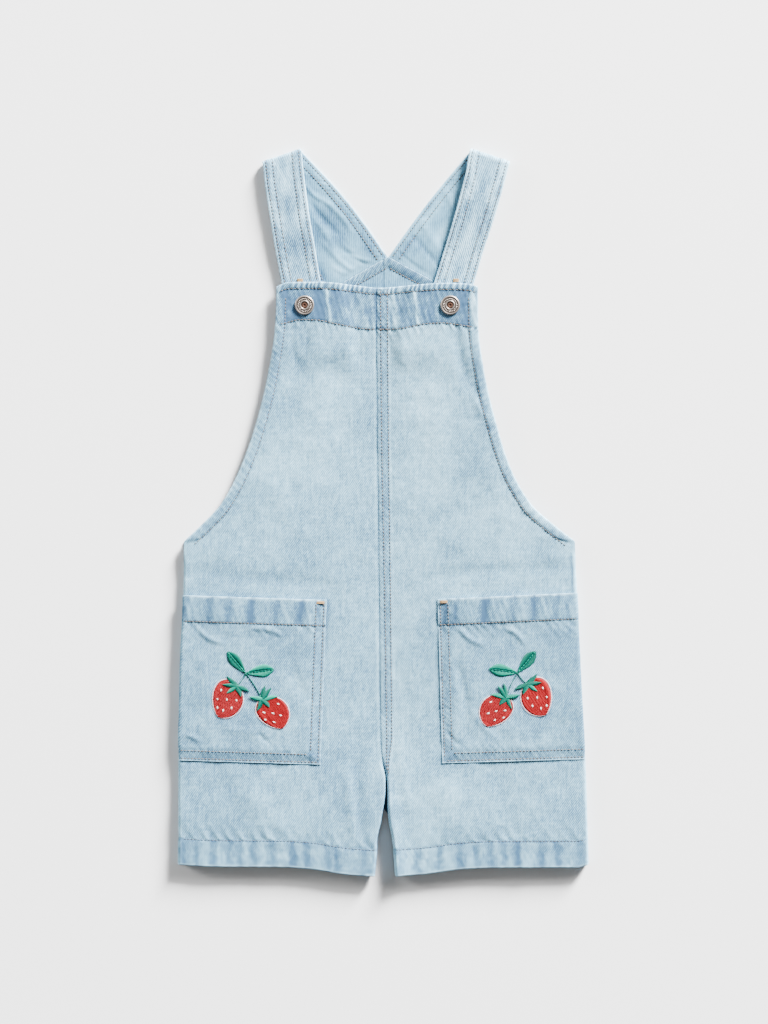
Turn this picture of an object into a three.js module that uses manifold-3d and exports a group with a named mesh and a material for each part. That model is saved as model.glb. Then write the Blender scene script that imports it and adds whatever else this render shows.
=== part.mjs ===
// A child's denim shortalls, laid flat and face up on a table.
// The straps are buttoned under the bib and folded back at the shoulders.
// Millimetres. +X is the viewer's right, +Y points from the hems to the shoulders, +Z is up from the table.
// The origin is on the table under the middle of the garment. Left and right are the viewer's.
import * as THREE from "three";
import { mergeVertices } from "three/addons/utils/BufferGeometryUtils.js";
import Module from "manifold-3d";

const wasm = await Module();
wasm.setup();

// Cloth and seams
const denimWall = 1.2;
const strapWall = 2.0;
const seamGap = 0.3;
const turnedHem = 0.7; // a hem's second layer, raised on the outer face
const turnedEdge = 0.5; // the narrow armhole hem and the centre lap

// Heights of the layers over the table
const backTop = denimWall;
const layerGap = 0.5; // between the back and the front where they lie together
const sideLoft = 2.9; // how much higher the front lies beside the side seams
const bibLoft = 1.2;
const yokeBandLift = 0.6; // more height for the bib where the turned top of the back lies under it
const sideSeamZ = 3.0;
const strapUnderBibTop = 4.4;
const freeEdgeDrop = 0.5; // how far a free edge curls down
const strapToBibGap = 0.35;
const bibOverStrapTop = strapUnderBibTop + strapToBibGap + denimWall;
const legLoftAtEdges = 0.72; // the share of the side loft that a leg keeps beside its two folds

// Widths along the edges
const foldWidth = 4.6; // how far the round of a side fold reaches in
const armholeHem = 8;
const lapWidth = 10; // the felled lap right of the centre seam
const reliefSlope = 1.3; // run of the small slope beside a raised band

// Heights along the garment between which one form passes into the next: none of it, then all of it
const fades = {
  legForm: [-150, -228],
  fullLoft: [60, -40],
  yokeUnderneath: [110, 165],
  sideFold: [-20, -48],
  frontLegFold: [-176, -216],
  backLegFold: [-240, -262],
  centreLap: [-190, -189],
  bibTopLift: [90, 170],
  yokeTopLift: [70, 150],
  hemLift: [-190, -262],
  overStrap: [108, 132],
  strapRise: [184, 262],
  strapSlant: [190, 275],
};
const besideStrap = [24, 11]; // the same, for the distance from a strap that the bib covers

// Front outline: the two armhole edges from the bib's top corners to the underarms
const armholeEdges = [
  { y: 180.6, left: -85.6, right: 75.6 },
  { y: 151, left: -86.6, right: 75.9 },
  { y: 112, left: -92.2, right: 80.8 },
  { y: 74, left: -101.2, right: 89.6 },
  { y: 36, left: -114.4, right: 101.6 },
  { y: 7, left: -130.0, right: 118.0 },
  { y: -12, left: -147.8, right: 139.0 },
  { y: -23, left: -159.6, right: 153.2 },
];
// Side seams from the underarms to the hems, shared by the front and the back
const sideEdges = [
  { y: -23, left: -159.6, right: 153.2 },
  { y: -70, left: -160.4, right: 155.2 },
  { y: -110, left: -162.4, right: 157.2 },
  { y: -150, left: -163.6, right: 159.0 },
  { y: -198, left: -164.2, right: 161.8 },
  { y: -283, left: -164.4, right: 164.4 },
];
// Front centre seam, then the two inner leg edges below the fork
const frontInnerEdges = [
  { y: 185, left: -6.2, right: -5.8 },
  { y: 58, left: -5.2, right: -4.8 },
  { y: -38, left: -4.0, right: -3.6 },
  { y: -182, left: -2.4, right: -1.95 },
  { y: -200, left: -1.0, right: -0.4 },
  { y: -211, left: 1.6, right: 2.2 },
  { y: -222, left: 2.0, right: 2.9 },
  { y: -234, left: 0.8, right: 3.2 },
  { y: -240, left: -0.2, right: 3.5 },
  { y: -250, left: -2.2, right: 4.6 },
  { y: -261, left: -4.8, right: 6.9 },
  { y: -272, left: -5.2, right: 8.0 },
  { y: -292, left: -6.8, right: 9.7 },
];
// Back outline above the underarms, hidden inside the front's, and the back's own centre seam and legs
const backArmholeEdges = [
  { y: 170, left: -58, right: 58 },
  { y: 130, left: -63, right: 62 },
  { y: 90, left: -73, right: 69 },
  { y: 50, left: -88, right: 81 },
  { y: 20, left: -106, right: 97 },
  { y: 0, left: -125, right: 114 },
  { y: -14, left: -146, right: 136 },
  { y: -23, left: -159.6, right: 153.2 },
];
const backInnerEdges = [
  { y: 205, left: -0.3, right: 0.1 },
  { y: -200, left: -0.3, right: 0.1 },
  { y: -240, left: 0.4, right: 2.4 },
  { y: -250, left: -1.0, right: 3.8 },
  { y: -261, left: -4.7, right: 6.8 },
  { y: -292, left: -6.8, right: 9.7 },
];
// The bib's top edge dips at the centre and is rounded off at the corners
const bibTopEdge = [
  { x: -85.6, y: 180.6 },
  { x: -76, y: 184.2 },
  { x: -50, y: 184.4 },
  { x: -26, y: 182.2 },
  { x: -3, y: 179.8 },
  { x: 24, y: 182.0 },
  { x: 50, y: 183.6 },
  { x: 67, y: 183.0 },
  { x: 75.6, y: 180.6 },
];
const hemEdges = {
  left: [
    { x: -164.4, y: -282 },
    { x: -130, y: -283.6 },
    { x: -85, y: -283.8 },
    { x: -60, y: -285.2 },
    { x: -29, y: -289.8 },
    { x: -6.8, y: -291.5 },
  ],
  right: [
    { x: 9.6, y: -291.0 },
    { x: 31, y: -289.6 },
    { x: 64, y: -285.4 },
    { x: 87, y: -284.4 },
    { x: 154, y: -284.2 },
    { x: 164.4, y: -282 },
  ],
};
// The back's top edge: two slopes that meet at a point behind the neck
const yoke = { apexX: 3.6, apexY: 203.6, slopeLeft: 0.567, slopeRight: 0.534 };

// Straps: the edges of the front run, then the corners of the shoulder fold and of the sewn end on the yoke
const straps = {
  left: {
    front: [
      { y: 142, inner: -42.0, outer: -73.6 },
      { y: 184, inner: -50.2, outer: -81.6 },
      { y: 210, inner: -54.8, outer: -86.6 },
      { y: 234, inner: -59.6, outer: -90.5 },
      { y: 262, inner: -63.9, outer: -94.8 },
    ],
    foldInner: { x: -66.4, y: 291.5 },
    foldOuter: { x: -97.4, y: 281.0 },
    sewnInner: { x: 3.3, y: 204.0 },
    sewnOuter: { x: -52, y: 172.9 },
    innerBow: 2.4,
    foldTop: 5.8,
    buttonX: -63.2,
  },
  right: {
    front: [
      { y: 142, inner: 27.2, outer: 61.0 },
      { y: 184, inner: 40.3, outer: 72.8 },
      { y: 210, inner: 49.0, outer: 80.4 },
      { y: 234, inner: 57.4, outer: 88.4 },
      { y: 262, inner: 66.0, outer: 96.4 },
    ],
    foldInner: { x: 69.7, y: 291.5 },
    foldOuter: { x: 101.5, y: 281.0 },
    sewnInner: { x: 3.9, y: 204.0 },
    sewnOuter: { x: 52, y: 178.4 },
    innerBow: 1.2,
    foldTop: 7.2,
    buttonX: 53.3,
  },
};
const buttonY = 165.6;

// Patch pockets: the inner edge's corners and the outer corners' heights
const pockets = {
  left: {
    innerTop: { x: -45.6, y: -70.2 },
    innerBottom: { x: -50.6, y: -202 },
    outerTopY: -66.4,
    outerBottomY: -198.6,
  },
  right: {
    innerTop: { x: 43.2, y: -69.6 },
    innerBottom: { x: 47.0, y: -200.9 },
    outerTopY: -64.4,
    outerBottomY: -197.6,
  },
};
const pocketGap = 0.4;
const pocketMouthGape = 0.9;
const pocketRowShares = [0, 0.075, 0.15, 0.158, 0.3, 0.45, 0.6, 0.75, 0.88, 1]; // shares of its height
const pocketHemRows = 3; // how many of those rows lie on the turned hem
const pocketSeamSteps = [0.8, 2.2, foldWidth]; // how far its first columns lie from the side seam
const pocketColumns = 6;

// Largest soft folds of the front: a line, its half width and its height, below zero for a trough
const frontFolds = [
  { x0: 58, y0: 146, x1: 74, y1: 92, half: 5, height: -0.9 },
  { x0: -64, y0: 142, x1: -80, y1: 78, half: 7, height: -0.7 },
  { x0: -46, y0: 120, x1: -52, y1: 40, half: 13, height: 0.6 },
  { x0: 34, y0: 110, x1: 46, y1: 20, half: 14, height: 0.6 },
  { x0: -150, y0: -48, x1: -44, y1: -57, half: 6, height: -0.5 },
  { x0: 40, y0: -52, x1: 148, y1: -44, half: 6, height: -0.5 },
  { x0: -20, y0: -190, x1: -17, y1: -262, half: 7, height: -0.8 },
  { x0: -112, y0: -214, x1: -78, y1: -258, half: 12, height: 0.6 },
  { x0: 92, y0: -210, x1: 104, y1: -262, half: 9, height: -0.7 },
  { x0: 50, y0: -214, x1: 66, y1: -262, half: 12, height: 0.6 },
];

// Tack button: its height is that of the cap, and the clearance is kept from the cloth above and below
const button = {
  radius: 7.6,
  shank: 2.4,
  capHeight: 2.7,
  clearance: 0.3,
  eyeMargin: 0.5,
  slitWidth: 1.2,
  slitShort: 1.6,
  turns: 24,
};

// How finely the sheets are divided: their rows' heights at the outer edge, and columns between the edges
const bibBandEnd = 150.4;
const hemStart = -262.3;
const hemCornerY = -282;
const frontRows = [
  180.6, 171, 160, bibBandEnd, 149.1, 136, 122, 106, 90, 74, 58, 42, 28, 15, 4, -5, -12, -18, -23, -32, -44,
  -60, -80, -100, -120, -140, -160, -178, -192, -202, -211, -222, -234, -248, -261, hemStart, -272,
  hemCornerY,
];
const yokeBandEnd = 161.7;
const backRows = [
  170, yokeBandEnd, 160.4, 140, 120, 98, 74, 50, 30, 12, -3, -14, -23, -34, -50, -80, -110, -140, -170,
  -196, -216, -234, -248, -260, -272, -281,
];
const roundSteps = [0, 0.5, 1.7]; // distances of the columns that lie on the round of an edge
const bandColumns = 4; // how many columns a raised band takes at an edge
const middleColumns = 6;
const strapRows = [142, 152, 163, 174, 184, 196, 210, 222, 234, 248, 262];
const strapFoldSteps = 6;
const strapBackSteps = 7;
const strapColumns = 5;

const clamp01 = (value) => Math.min(1, Math.max(0, value));
const mix = (a, b, share) => a + (b - a) * share;

// 0 before a, 1 after b, smooth between them; a may be larger than b
function ramp(a, b, value) {
  const share = clamp01((value - a) / (b - a));
  return share * share * (3 - 2 * share);
}

// A smooth curve through a table's rows, from one named column to another, with no overshoot between them
function curveThrough(table, from, to) {
  const rows = [...table].sort((a, b) => a[from] - b[from]);
  const steps = rows.slice(1).map((row, i) => (row[to] - rows[i][to]) / (row[from] - rows[i][from]));
  const slopes = rows.map((_, i) => {
    const before = steps[Math.max(0, i - 1)];
    const after = steps[Math.min(steps.length - 1, i)];
    return before * after <= 0 ? 0 : (2 * before * after) / (before + after);
  });
  return (value) => {
    const inside = Math.min(rows[rows.length - 1][from], Math.max(rows[0][from], value));
    const i = Math.min(rows.length - 2, rows.findLastIndex((row) => row[from] <= inside));
    const width = rows[i + 1][from] - rows[i][from];
    const s = (inside - rows[i][from]) / width;
    const start = rows[i][to] + s * s * (3 - 2 * s) * (rows[i + 1][to] - rows[i][to]);
    return start + width * (s * (1 - s) ** 2 * slopes[i] - s * s * (1 - s) * slopes[i + 1]);
  };
}

const underarmY = sideEdges[0].y;
const edgeCurves = (table) => ({
  left: curveThrough(table, "y", "left"),
  right: curveThrough(table, "y", "right"),
});
const armhole = edgeCurves(armholeEdges);
const backArmhole = edgeCurves(backArmholeEdges);
const sideSeam = edgeCurves(sideEdges);
const frontInner = edgeCurves(frontInnerEdges);
const backInner = edgeCurves(backInnerEdges);
const bibTop = curveThrough(bibTopEdge, "x", "y");
const hem = { left: curveThrough(hemEdges.left, "x", "y"), right: curveThrough(hemEdges.right, "x", "y") };

const armholeSlope = (side, y) => (armhole[side](y + 2) - armhole[side](y - 2)) / 4;
const frontOuterX = (side, y) => (y > underarmY ? armhole[side](y) : sideSeam[side](y));
const backOuterX = (side, y) => (y > underarmY ? backArmhole[side](y) : sideSeam[side](y));

// How far the surface has turned over at a distance from a fold's edge: 1 is upright at the edge, 0 lies flat
const foldTurn = (distance) => clamp01(1 - distance / foldWidth);
const foldDrop = (turn) => 1 - Math.sqrt(1 - turn * turn);

// Where the bib covers a strap: 1 over the strap's hidden end, falling to 0 around it
function overStrap(side, x, y) {
  const edges = straps[side].front;
  const inner = curveThrough(edges, "y", "inner")(y);
  const outer = curveThrough(edges, "y", "outer")(y);
  const away = Math.abs(x - (inner + outer) / 2) - Math.abs(outer - inner) / 2;
  return ramp(...besideStrap, away) * ramp(...fades.overStrap, y);
}

// The sum of the soft folds: a bell across each one's line that fades out just past the line's ends
function softFolds(x, y) {
  let height = 0;
  for (const fold of frontFolds) {
    const dx = fold.x1 - fold.x0;
    const dy = fold.y1 - fold.y0;
    const along = ((x - fold.x0) * dx + (y - fold.y0) * dy) / (dx * dx + dy * dy);
    const away = ((x - fold.x0) * dy - (y - fold.y0) * dx) / Math.hypot(dx, dy);
    const ends = ramp(-0.25, 0.25, along) * ramp(1.25, 0.75, along);
    height += fold.height * ends * Math.exp(-((away / fold.half) ** 2));
  }
  return height;
}

// A point of a sheet with the direction its outer face looks, leaning over sideways near a fold
const sheetPoint = (x, y, z, lean, facing) => ({
  point: new THREE.Vector3(x, y, z),
  normal: new THREE.Vector3(lean, 0, facing * Math.sqrt(1 - lean * lean)),
});

// Outer face of the front: low along the centre seam, lofted towards the sides, rounded down at the folds
function frontPoint(side, x, y, surfaceY = y) {
  const outer = frontOuterX(side, surfaceY);
  const inner = frontInner[side](surfaceY);
  const share = clamp01((x - inner) / (outer - inner));
  const legShare = ramp(...fades.legForm, surfaceY);
  const loft = mix(bibLoft, sideLoft, ramp(...fades.fullLoft, surfaceY));
  const bodyLoft = loft * (1 - (1 - share) ** 2);
  const legLoft = sideLoft * mix(legLoftAtEdges, 1, Math.sin(Math.PI * share));
  const overYoke = yokeBandLift * ramp(...fades.yokeUnderneath, surfaceY);
  const lying = backTop + layerGap + denimWall + overYoke + mix(bodyLoft, legLoft, legShare);
  const covered = overStrap(side, x, surfaceY);
  const fromOuter = Math.abs(outer - x);
  const sideFold = ramp(...fades.sideFold, surfaceY);
  const sideTurn = sideFold * foldTurn(fromOuter);
  const legTurn = ramp(...fades.frontLegFold, surfaceY) * foldTurn(Math.abs(x - inner));
  const curl = freeEdgeDrop * (1 - sideFold) * clamp01(1 - fromOuter / armholeHem) ** 2;
  const flat = mix(lying + softFolds(x, y) - curl, bibOverStrapTop, covered);
  const drop = (flat - sideSeamZ - seamGap / 2) * (foldDrop(sideTurn) + foldDrop(legTurn));
  const outward = Math.sign(outer - inner);
  return sheetPoint(x, y, flat - drop, outward * (sideTurn - legTurn), 1);
}

// Outer face of the back: flat on the table, curling up at the side and leg folds
function backPoint(side, x, y, surfaceY) {
  const outer = backOuterX(side, surfaceY);
  const inner = backInner[side](surfaceY);
  const sideTurn = ramp(...fades.sideFold, surfaceY) * foldTurn(Math.abs(outer - x));
  const legTurn = ramp(...fades.backLegFold, surfaceY) * foldTurn(Math.abs(x - inner));
  const z = (sideSeamZ - seamGap / 2) * (foldDrop(sideTurn) + foldDrop(legTurn));
  return sheetPoint(x, y, z, Math.sign(outer - inner) * (sideTurn - legTurn), -1);
}

// A wall: a grid of sheet points moved out and in along their normals and closed round the rim, as one solid
function wallGeometry(grid, outerOffset, innerOffset) {
  const rows = grid.length;
  const columns = grid[0].length;
  const points = [];
  for (const offset of [outerOffset, innerOffset]) {
    grid.forEach((row, i) =>
      row.forEach(({ point, normal }, j) => points.push(point.clone().addScaledVector(normal, offset(i, j)))),
    );
  }
  const at = (layer, i, j) => layer * rows * columns + i * columns + j;
  const quads = [];
  for (let i = 0; i < rows - 1; i += 1) {
    for (let j = 0; j < columns - 1; j += 1) {
      quads.push([at(0, i, j), at(0, i + 1, j), at(0, i + 1, j + 1), at(0, i, j + 1)]);
      quads.push([at(1, i, j), at(1, i, j + 1), at(1, i + 1, j + 1), at(1, i + 1, j)]);
    }
  }
  const rim = [];
  for (let j = 0; j < columns - 1; j += 1) rim.push([0, j]);
  for (let i = 0; i < rows - 1; i += 1) rim.push([i, columns - 1]);
  for (let j = columns - 1; j > 0; j -= 1) rim.push([rows - 1, j]);
  for (let i = rows - 1; i > 0; i -= 1) rim.push([i, 0]);
  rim.forEach(([i, j], k) => {
    const [nextI, nextJ] = rim[(k + 1) % rim.length];
    quads.push([at(0, i, j), at(0, nextI, nextJ), at(1, nextI, nextJ), at(1, i, j)]);
  });
  return closedGeometry(points, quads);
}

// Triangles from quads, each split along its shorter diagonal, turned so that all faces look out
function closedGeometry(points, quads) {
  const triangles = quads.flatMap(([a, b, c, d]) => {
    const firstIsShorter = points[a].distanceTo(points[c]) <= points[b].distanceTo(points[d]);
    return firstIsShorter ? [[a, b, c], [a, c, d]] : [[a, b, d], [b, c, d]];
  });
  const volume = triangles.reduce(
    (sum, [a, b, c]) => sum + points[a].dot(new THREE.Vector3().crossVectors(points[b], points[c])),
    0,
  );
  const facing = volume > 0 ? triangles : triangles.map(([a, b, c]) => [a, c, b]);
  const geometry = new THREE.BufferGeometry();
  geometry.setAttribute("position", new THREE.Float32BufferAttribute(points.flatMap((p) => p.toArray()), 3));
  geometry.setIndex(facing.flat());
  geometry.computeVertexNormals();
  return geometry;
}

// Distances from an edge at which a sheet has columns: close on the round, then a band's end and its slope
const edgeSteps = (band) => [
  ...roundSteps,
  Math.max(foldWidth, band - reliefSlope),
  Math.max(foldWidth + 1, band),
];

// A row's points across a panel, from the outer edge to the inner one
function rowAcross(outer, inner, outerBand, innerBand) {
  const direction = Math.sign(inner - outer);
  const outerSteps = edgeSteps(outerBand).map((step) => outer + direction * step);
  const innerSteps = edgeSteps(innerBand)
    .map((step) => inner - direction * step)
    .reverse();
  const from = outerSteps[outerSteps.length - 1];
  const between = Array.from({ length: middleColumns - 1 }, (_, k) =>
    mix(from, innerSteps[0], (k + 1) / middleColumns),
  );
  return [...outerSteps, ...between, ...innerSteps];
}

// A front panel: bib, body and leg in one piece, with its turned edges and its centre lap raised
function frontPanel(side) {
  const innerBand = side === "right" ? lapWidth : foldWidth;
  const topAtEdge = bibTop(frontOuterX(side, frontRows[0]));
  const bottomAtEdge = hem[side](frontOuterX(side, hemCornerY));
  const grid = frontRows.map((y) => {
    const slope = y > underarmY ? armholeSlope(side, y) : 0;
    const outerBand = armholeHem * Math.hypot(1, slope);
    return rowAcross(frontOuterX(side, y), frontInner[side](y), outerBand, innerBand).map((x) => {
      const topLift = (bibTop(x) - topAtEdge) * ramp(...fades.bibTopLift, y);
      const hemLift = (hem[side](x) - bottomAtEdge) * ramp(...fades.hemLift, y);
      return frontPoint(side, x, y + topLift + hemLift, y);
    });
  });
  const lastColumn = grid[0].length - 1;
  const relief = (i, j) => {
    const y = frontRows[i];
    const hemmed = y >= bibBandEnd || y <= hemStart ? turnedHem : 0;
    const edged = y > underarmY && j < bandColumns ? turnedEdge : 0;
    const onLap = side === "right" && j > lastColumn - bandColumns;
    const lapped = onLap ? turnedEdge * ramp(...fades.centreLap, y) : 0;
    return Math.max(hemmed, edged) + lapped;
  };
  return wallGeometry(grid, relief, () => -denimWall);
}

// A back panel: seat and leg in one piece, flat on the table, with a turned band along its sloping top
function backPanel(side) {
  const slope = side === "left" ? yoke.slopeLeft : yoke.slopeRight;
  const top = (x) => yoke.apexY - slope * Math.abs(x - yoke.apexX) - seamGap;
  const bottomAtEdge = hem[side](backOuterX(side, hemCornerY));
  const grid = backRows.map((y) =>
    rowAcross(backOuterX(side, y), backInner[side](y), foldWidth, foldWidth).map((x) => {
      const topLift = (top(x) - backRows[0]) * ramp(...fades.yokeTopLift, y);
      const hemLift = (hem[side](x) - bottomAtEdge) * ramp(...fades.hemLift, y);
      return backPoint(side, x, y + topLift + hemLift, y);
    }),
  );
  return wallGeometry(grid, () => 0, (i) => -denimWall - (backRows[i] >= yokeBandEnd ? turnedHem : 0));
}

// A strap: its hidden front end, the run up to the shoulder, the fold, and the widening run down to the yoke
function strap(side) {
  const shape = straps[side];
  const radius = shape.foldTop / 2;
  const outward = Math.sign(shape.foldOuter.x);
  const inner = curveThrough(shape.front, "y", "inner");
  const outer = curveThrough(shape.front, "y", "outer");
  const slant = shape.foldInner.y - shape.foldOuter.y;
  const foldLine = new THREE.Vector2(shape.foldInner.x - shape.foldOuter.x, slant).normalize();
  const beyond = new THREE.Vector2(outward * Math.abs(foldLine.y), Math.abs(foldLine.x));

  const sections = [];
  for (const y of strapRows) {
    const z = mix(strapUnderBibTop, shape.foldTop, ramp(...fades.strapRise, y));
    const innerY = y + slant * ramp(...fades.strapSlant, y);
    sections.push({ outer: [outer(y), y, z], inner: [inner(y), innerY, z] });
  }
  for (let k = 0; k <= strapFoldSteps; k += 1) {
    const turn = (Math.PI * k) / strapFoldSteps;
    const reach = radius * (Math.sin(turn) - 1);
    const corner = (p) => [p.x + beyond.x * reach, p.y + beyond.y * reach, radius * (1 + Math.cos(turn))];
    sections.push({ outer: corner(shape.foldOuter), inner: corner(shape.foldInner) });
  }
  const last = sections[sections.length - 1];
  for (let k = 1; k <= strapBackSteps; k += 1) {
    const share = k / strapBackSteps;
    const bow = shape.innerBow * Math.sin(Math.PI * share);
    const towards = (from, to, out) => [
      mix(from[0], to.x, share) - outward * out,
      mix(from[1], to.y, share) + out,
      0,
    ];
    sections.push({
      outer: towards(last.outer, shape.sewnOuter, 0),
      inner: towards(last.inner, shape.sewnInner, bow),
    });
  }
  const grid = sections.map((section) =>
    Array.from({ length: strapColumns + 1 }, (_, j) =>
      new THREE.Vector3(...section.outer).lerp(new THREE.Vector3(...section.inner), j / strapColumns),
    ),
  );
  const sheet = grid.map((row, i) =>
    row.map((point, j) => {
      const along = grid[Math.min(grid.length - 1, i + 1)][j].clone().sub(grid[Math.max(0, i - 1)][j]);
      const across = row[strapColumns].clone().sub(row[0]).multiplyScalar(-outward);
      return { point, normal: across.cross(along).normalize() };
    }),
  );
  return wallGeometry(sheet, () => 0, () => -strapWall);
}

// A patch pocket: the front's own points moved out, caught in the side seam, with a turned hem at its mouth
function pocket(side) {
  const shape = pockets[side];
  const inward = side === "left" ? 1 : -1;
  const grid = pocketRowShares.map((share) => {
    const outerY = mix(shape.outerTopY, shape.outerBottomY, share);
    const innerY = mix(shape.innerTop.y, shape.innerBottom.y, share);
    const innerX = mix(shape.innerTop.x, shape.innerBottom.x, share);
    const outerX = sideSeam[side](outerY);
    const xs = pocketSeamSteps.map((step) => outerX + inward * step);
    for (let k = 1; k <= pocketColumns; k += 1) {
      xs.push(mix(outerX + inward * foldWidth, innerX, k / pocketColumns));
    }
    return xs.map((x) => frontPoint(side, x, mix(outerY, innerY, (x - outerX) / (innerX - outerX))));
  });
  const last = grid[0].length - 1;
  const mouth = (i) => ramp(0.3, 0, pocketRowShares[i]); // 1 at the mouth, 0 from a third of the way down
  const gape = (i, j) => pocketMouthGape * mouth(i) * Math.sin((Math.PI * j) / last);
  const hemRelief = (i) => (i < pocketHemRows ? turnedHem : 0);
  return wallGeometry(
    grid,
    (i, j) => pocketGap + denimWall + gape(i, j) + hemRelief(i),
    (i, j) => pocketGap + gape(i, j),
  );
}

// A tack button: a shank from the strap through the buttonhole, and a cap with a rim and a raised ring
function buttonGeometry() {
  const shankBottom = strapUnderBibTop + button.clearance;
  const capBottom = bibOverStrapTop + turnedHem + button.clearance;
  const capTop = capBottom + button.capHeight;
  const outline = [
    { r: 0, z: shankBottom },
    { r: button.shank, z: shankBottom },
    { r: button.shank, z: capBottom },
    { r: button.radius - 0.6, z: capBottom },
    { r: button.radius, z: capBottom + 0.7 },
    { r: button.radius, z: capTop - 0.9 },
    { r: button.radius - 0.7, z: capTop },
    { r: button.radius - 1.4, z: capTop - 0.25 },
    { r: 4.2, z: capTop - 0.3 },
    { r: 3.8, z: capTop },
    { r: 2.7, z: capTop },
    { r: 2.4, z: capTop - 0.6 },
    { r: 0, z: capTop - 0.35 },
  ];
  const profile = outline.map(({ r, z }) => new THREE.Vector2(r, z));
  return new THREE.LatheGeometry(profile, button.turns).rotateX(Math.PI / 2);
}

const metalMaterial = new THREE.MeshStandardMaterial({ color: 0xc6b4a6, roughness: 0.35, metalness: 0.9 });
const denimMaterial = (color) => new THREE.MeshStandardMaterial({ color, roughness: 0.92, metalness: 0 });

// A closed geometry as a manifold solid, and back
function toSolid(geometry) {
  const bare = geometry.clone();
  bare.deleteAttribute("normal");
  bare.deleteAttribute("uv");
  const merged = mergeVertices(bare, 1e-4);
  return new wasm.Manifold(
    new wasm.Mesh({
      numProp: 3,
      vertProperties: merged.attributes.position.array,
      triVerts: new Uint32Array(merged.index.array),
    }),
  );
}

function fromSolid(solid) {
  const mesh = solid.getMesh();
  const geometry = new THREE.BufferGeometry();
  geometry.setAttribute("position", new THREE.BufferAttribute(mesh.vertProperties, 3));
  geometry.setIndex(new THREE.BufferAttribute(mesh.triVerts, 1));
  geometry.computeVertexNormals();
  return geometry;
}

// The buttonhole under a button: a round eye for the shank and a slit across it
function withButtonhole(geometry, side) {
  const throughAll = 20;
  const eyeRadius = button.shank + button.eyeMargin;
  const eye = new THREE.CylinderGeometry(eyeRadius, eyeRadius, throughAll, 16).rotateX(Math.PI / 2);
  const slitLength = 2 * button.radius - button.slitShort;
  const slit = new THREE.BoxGeometry(slitLength, button.slitWidth, throughAll);
  const place = (shape) => toSolid(shape.translate(straps[side].buttonX, buttonY, bibOverStrapTop));
  return fromSolid(toSolid(geometry).subtract(place(eye).add(place(slit))));
}

const shortalls = new THREE.Group();

function addPiece(name, geometry, material) {
  const mesh = new THREE.Mesh(geometry, material);
  mesh.name = name;
  shortalls.add(mesh);
  return mesh;
}

for (const side of ["left", "right"]) {
  addPiece(`front_${side}`, withButtonhole(frontPanel(side), side), denimMaterial(0xc3d8e2));
  addPiece(`back_${side}`, backPanel(side), denimMaterial(0xb9d0de));
  addPiece(`strap_${side}`, strap(side), denimMaterial(0xbcd2e0));
  addPiece(`pocket_${side}`, pocket(side), denimMaterial(0xbfd5e2));
  addPiece(`button_${side}`, buttonGeometry(), metalMaterial).position.set(straps[side].buttonX, buttonY, 0);
}

export default shortalls;
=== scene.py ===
import bmesh
import bpy
import numpy as np
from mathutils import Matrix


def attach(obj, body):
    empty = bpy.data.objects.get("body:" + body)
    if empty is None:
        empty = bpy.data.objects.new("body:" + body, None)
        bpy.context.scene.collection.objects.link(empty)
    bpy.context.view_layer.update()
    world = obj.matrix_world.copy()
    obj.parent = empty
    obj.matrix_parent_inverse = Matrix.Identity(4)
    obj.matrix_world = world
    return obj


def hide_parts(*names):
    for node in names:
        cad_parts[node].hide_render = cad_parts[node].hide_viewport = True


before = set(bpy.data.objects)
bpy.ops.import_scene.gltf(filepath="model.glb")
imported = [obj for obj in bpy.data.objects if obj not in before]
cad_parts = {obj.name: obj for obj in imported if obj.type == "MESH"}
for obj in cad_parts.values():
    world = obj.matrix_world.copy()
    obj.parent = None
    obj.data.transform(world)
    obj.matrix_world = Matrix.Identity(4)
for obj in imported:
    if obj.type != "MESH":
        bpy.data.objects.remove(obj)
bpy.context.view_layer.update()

# A child's light-washed denim shortalls, laid flat and seen from straight above.
# Sizes are in millimetres in the CAD's frame until a mesh is made. Left and right are the viewer's.
millimetre = 0.001
sides = ("left", "right")
outwardX = {"left": -1.0, "right": 1.0}


# A short table: a list of dictionaries with these column names
def rows(columns, *values):
    names = columns.split()
    return [dict(zip(names, row)) for row in values]


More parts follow.
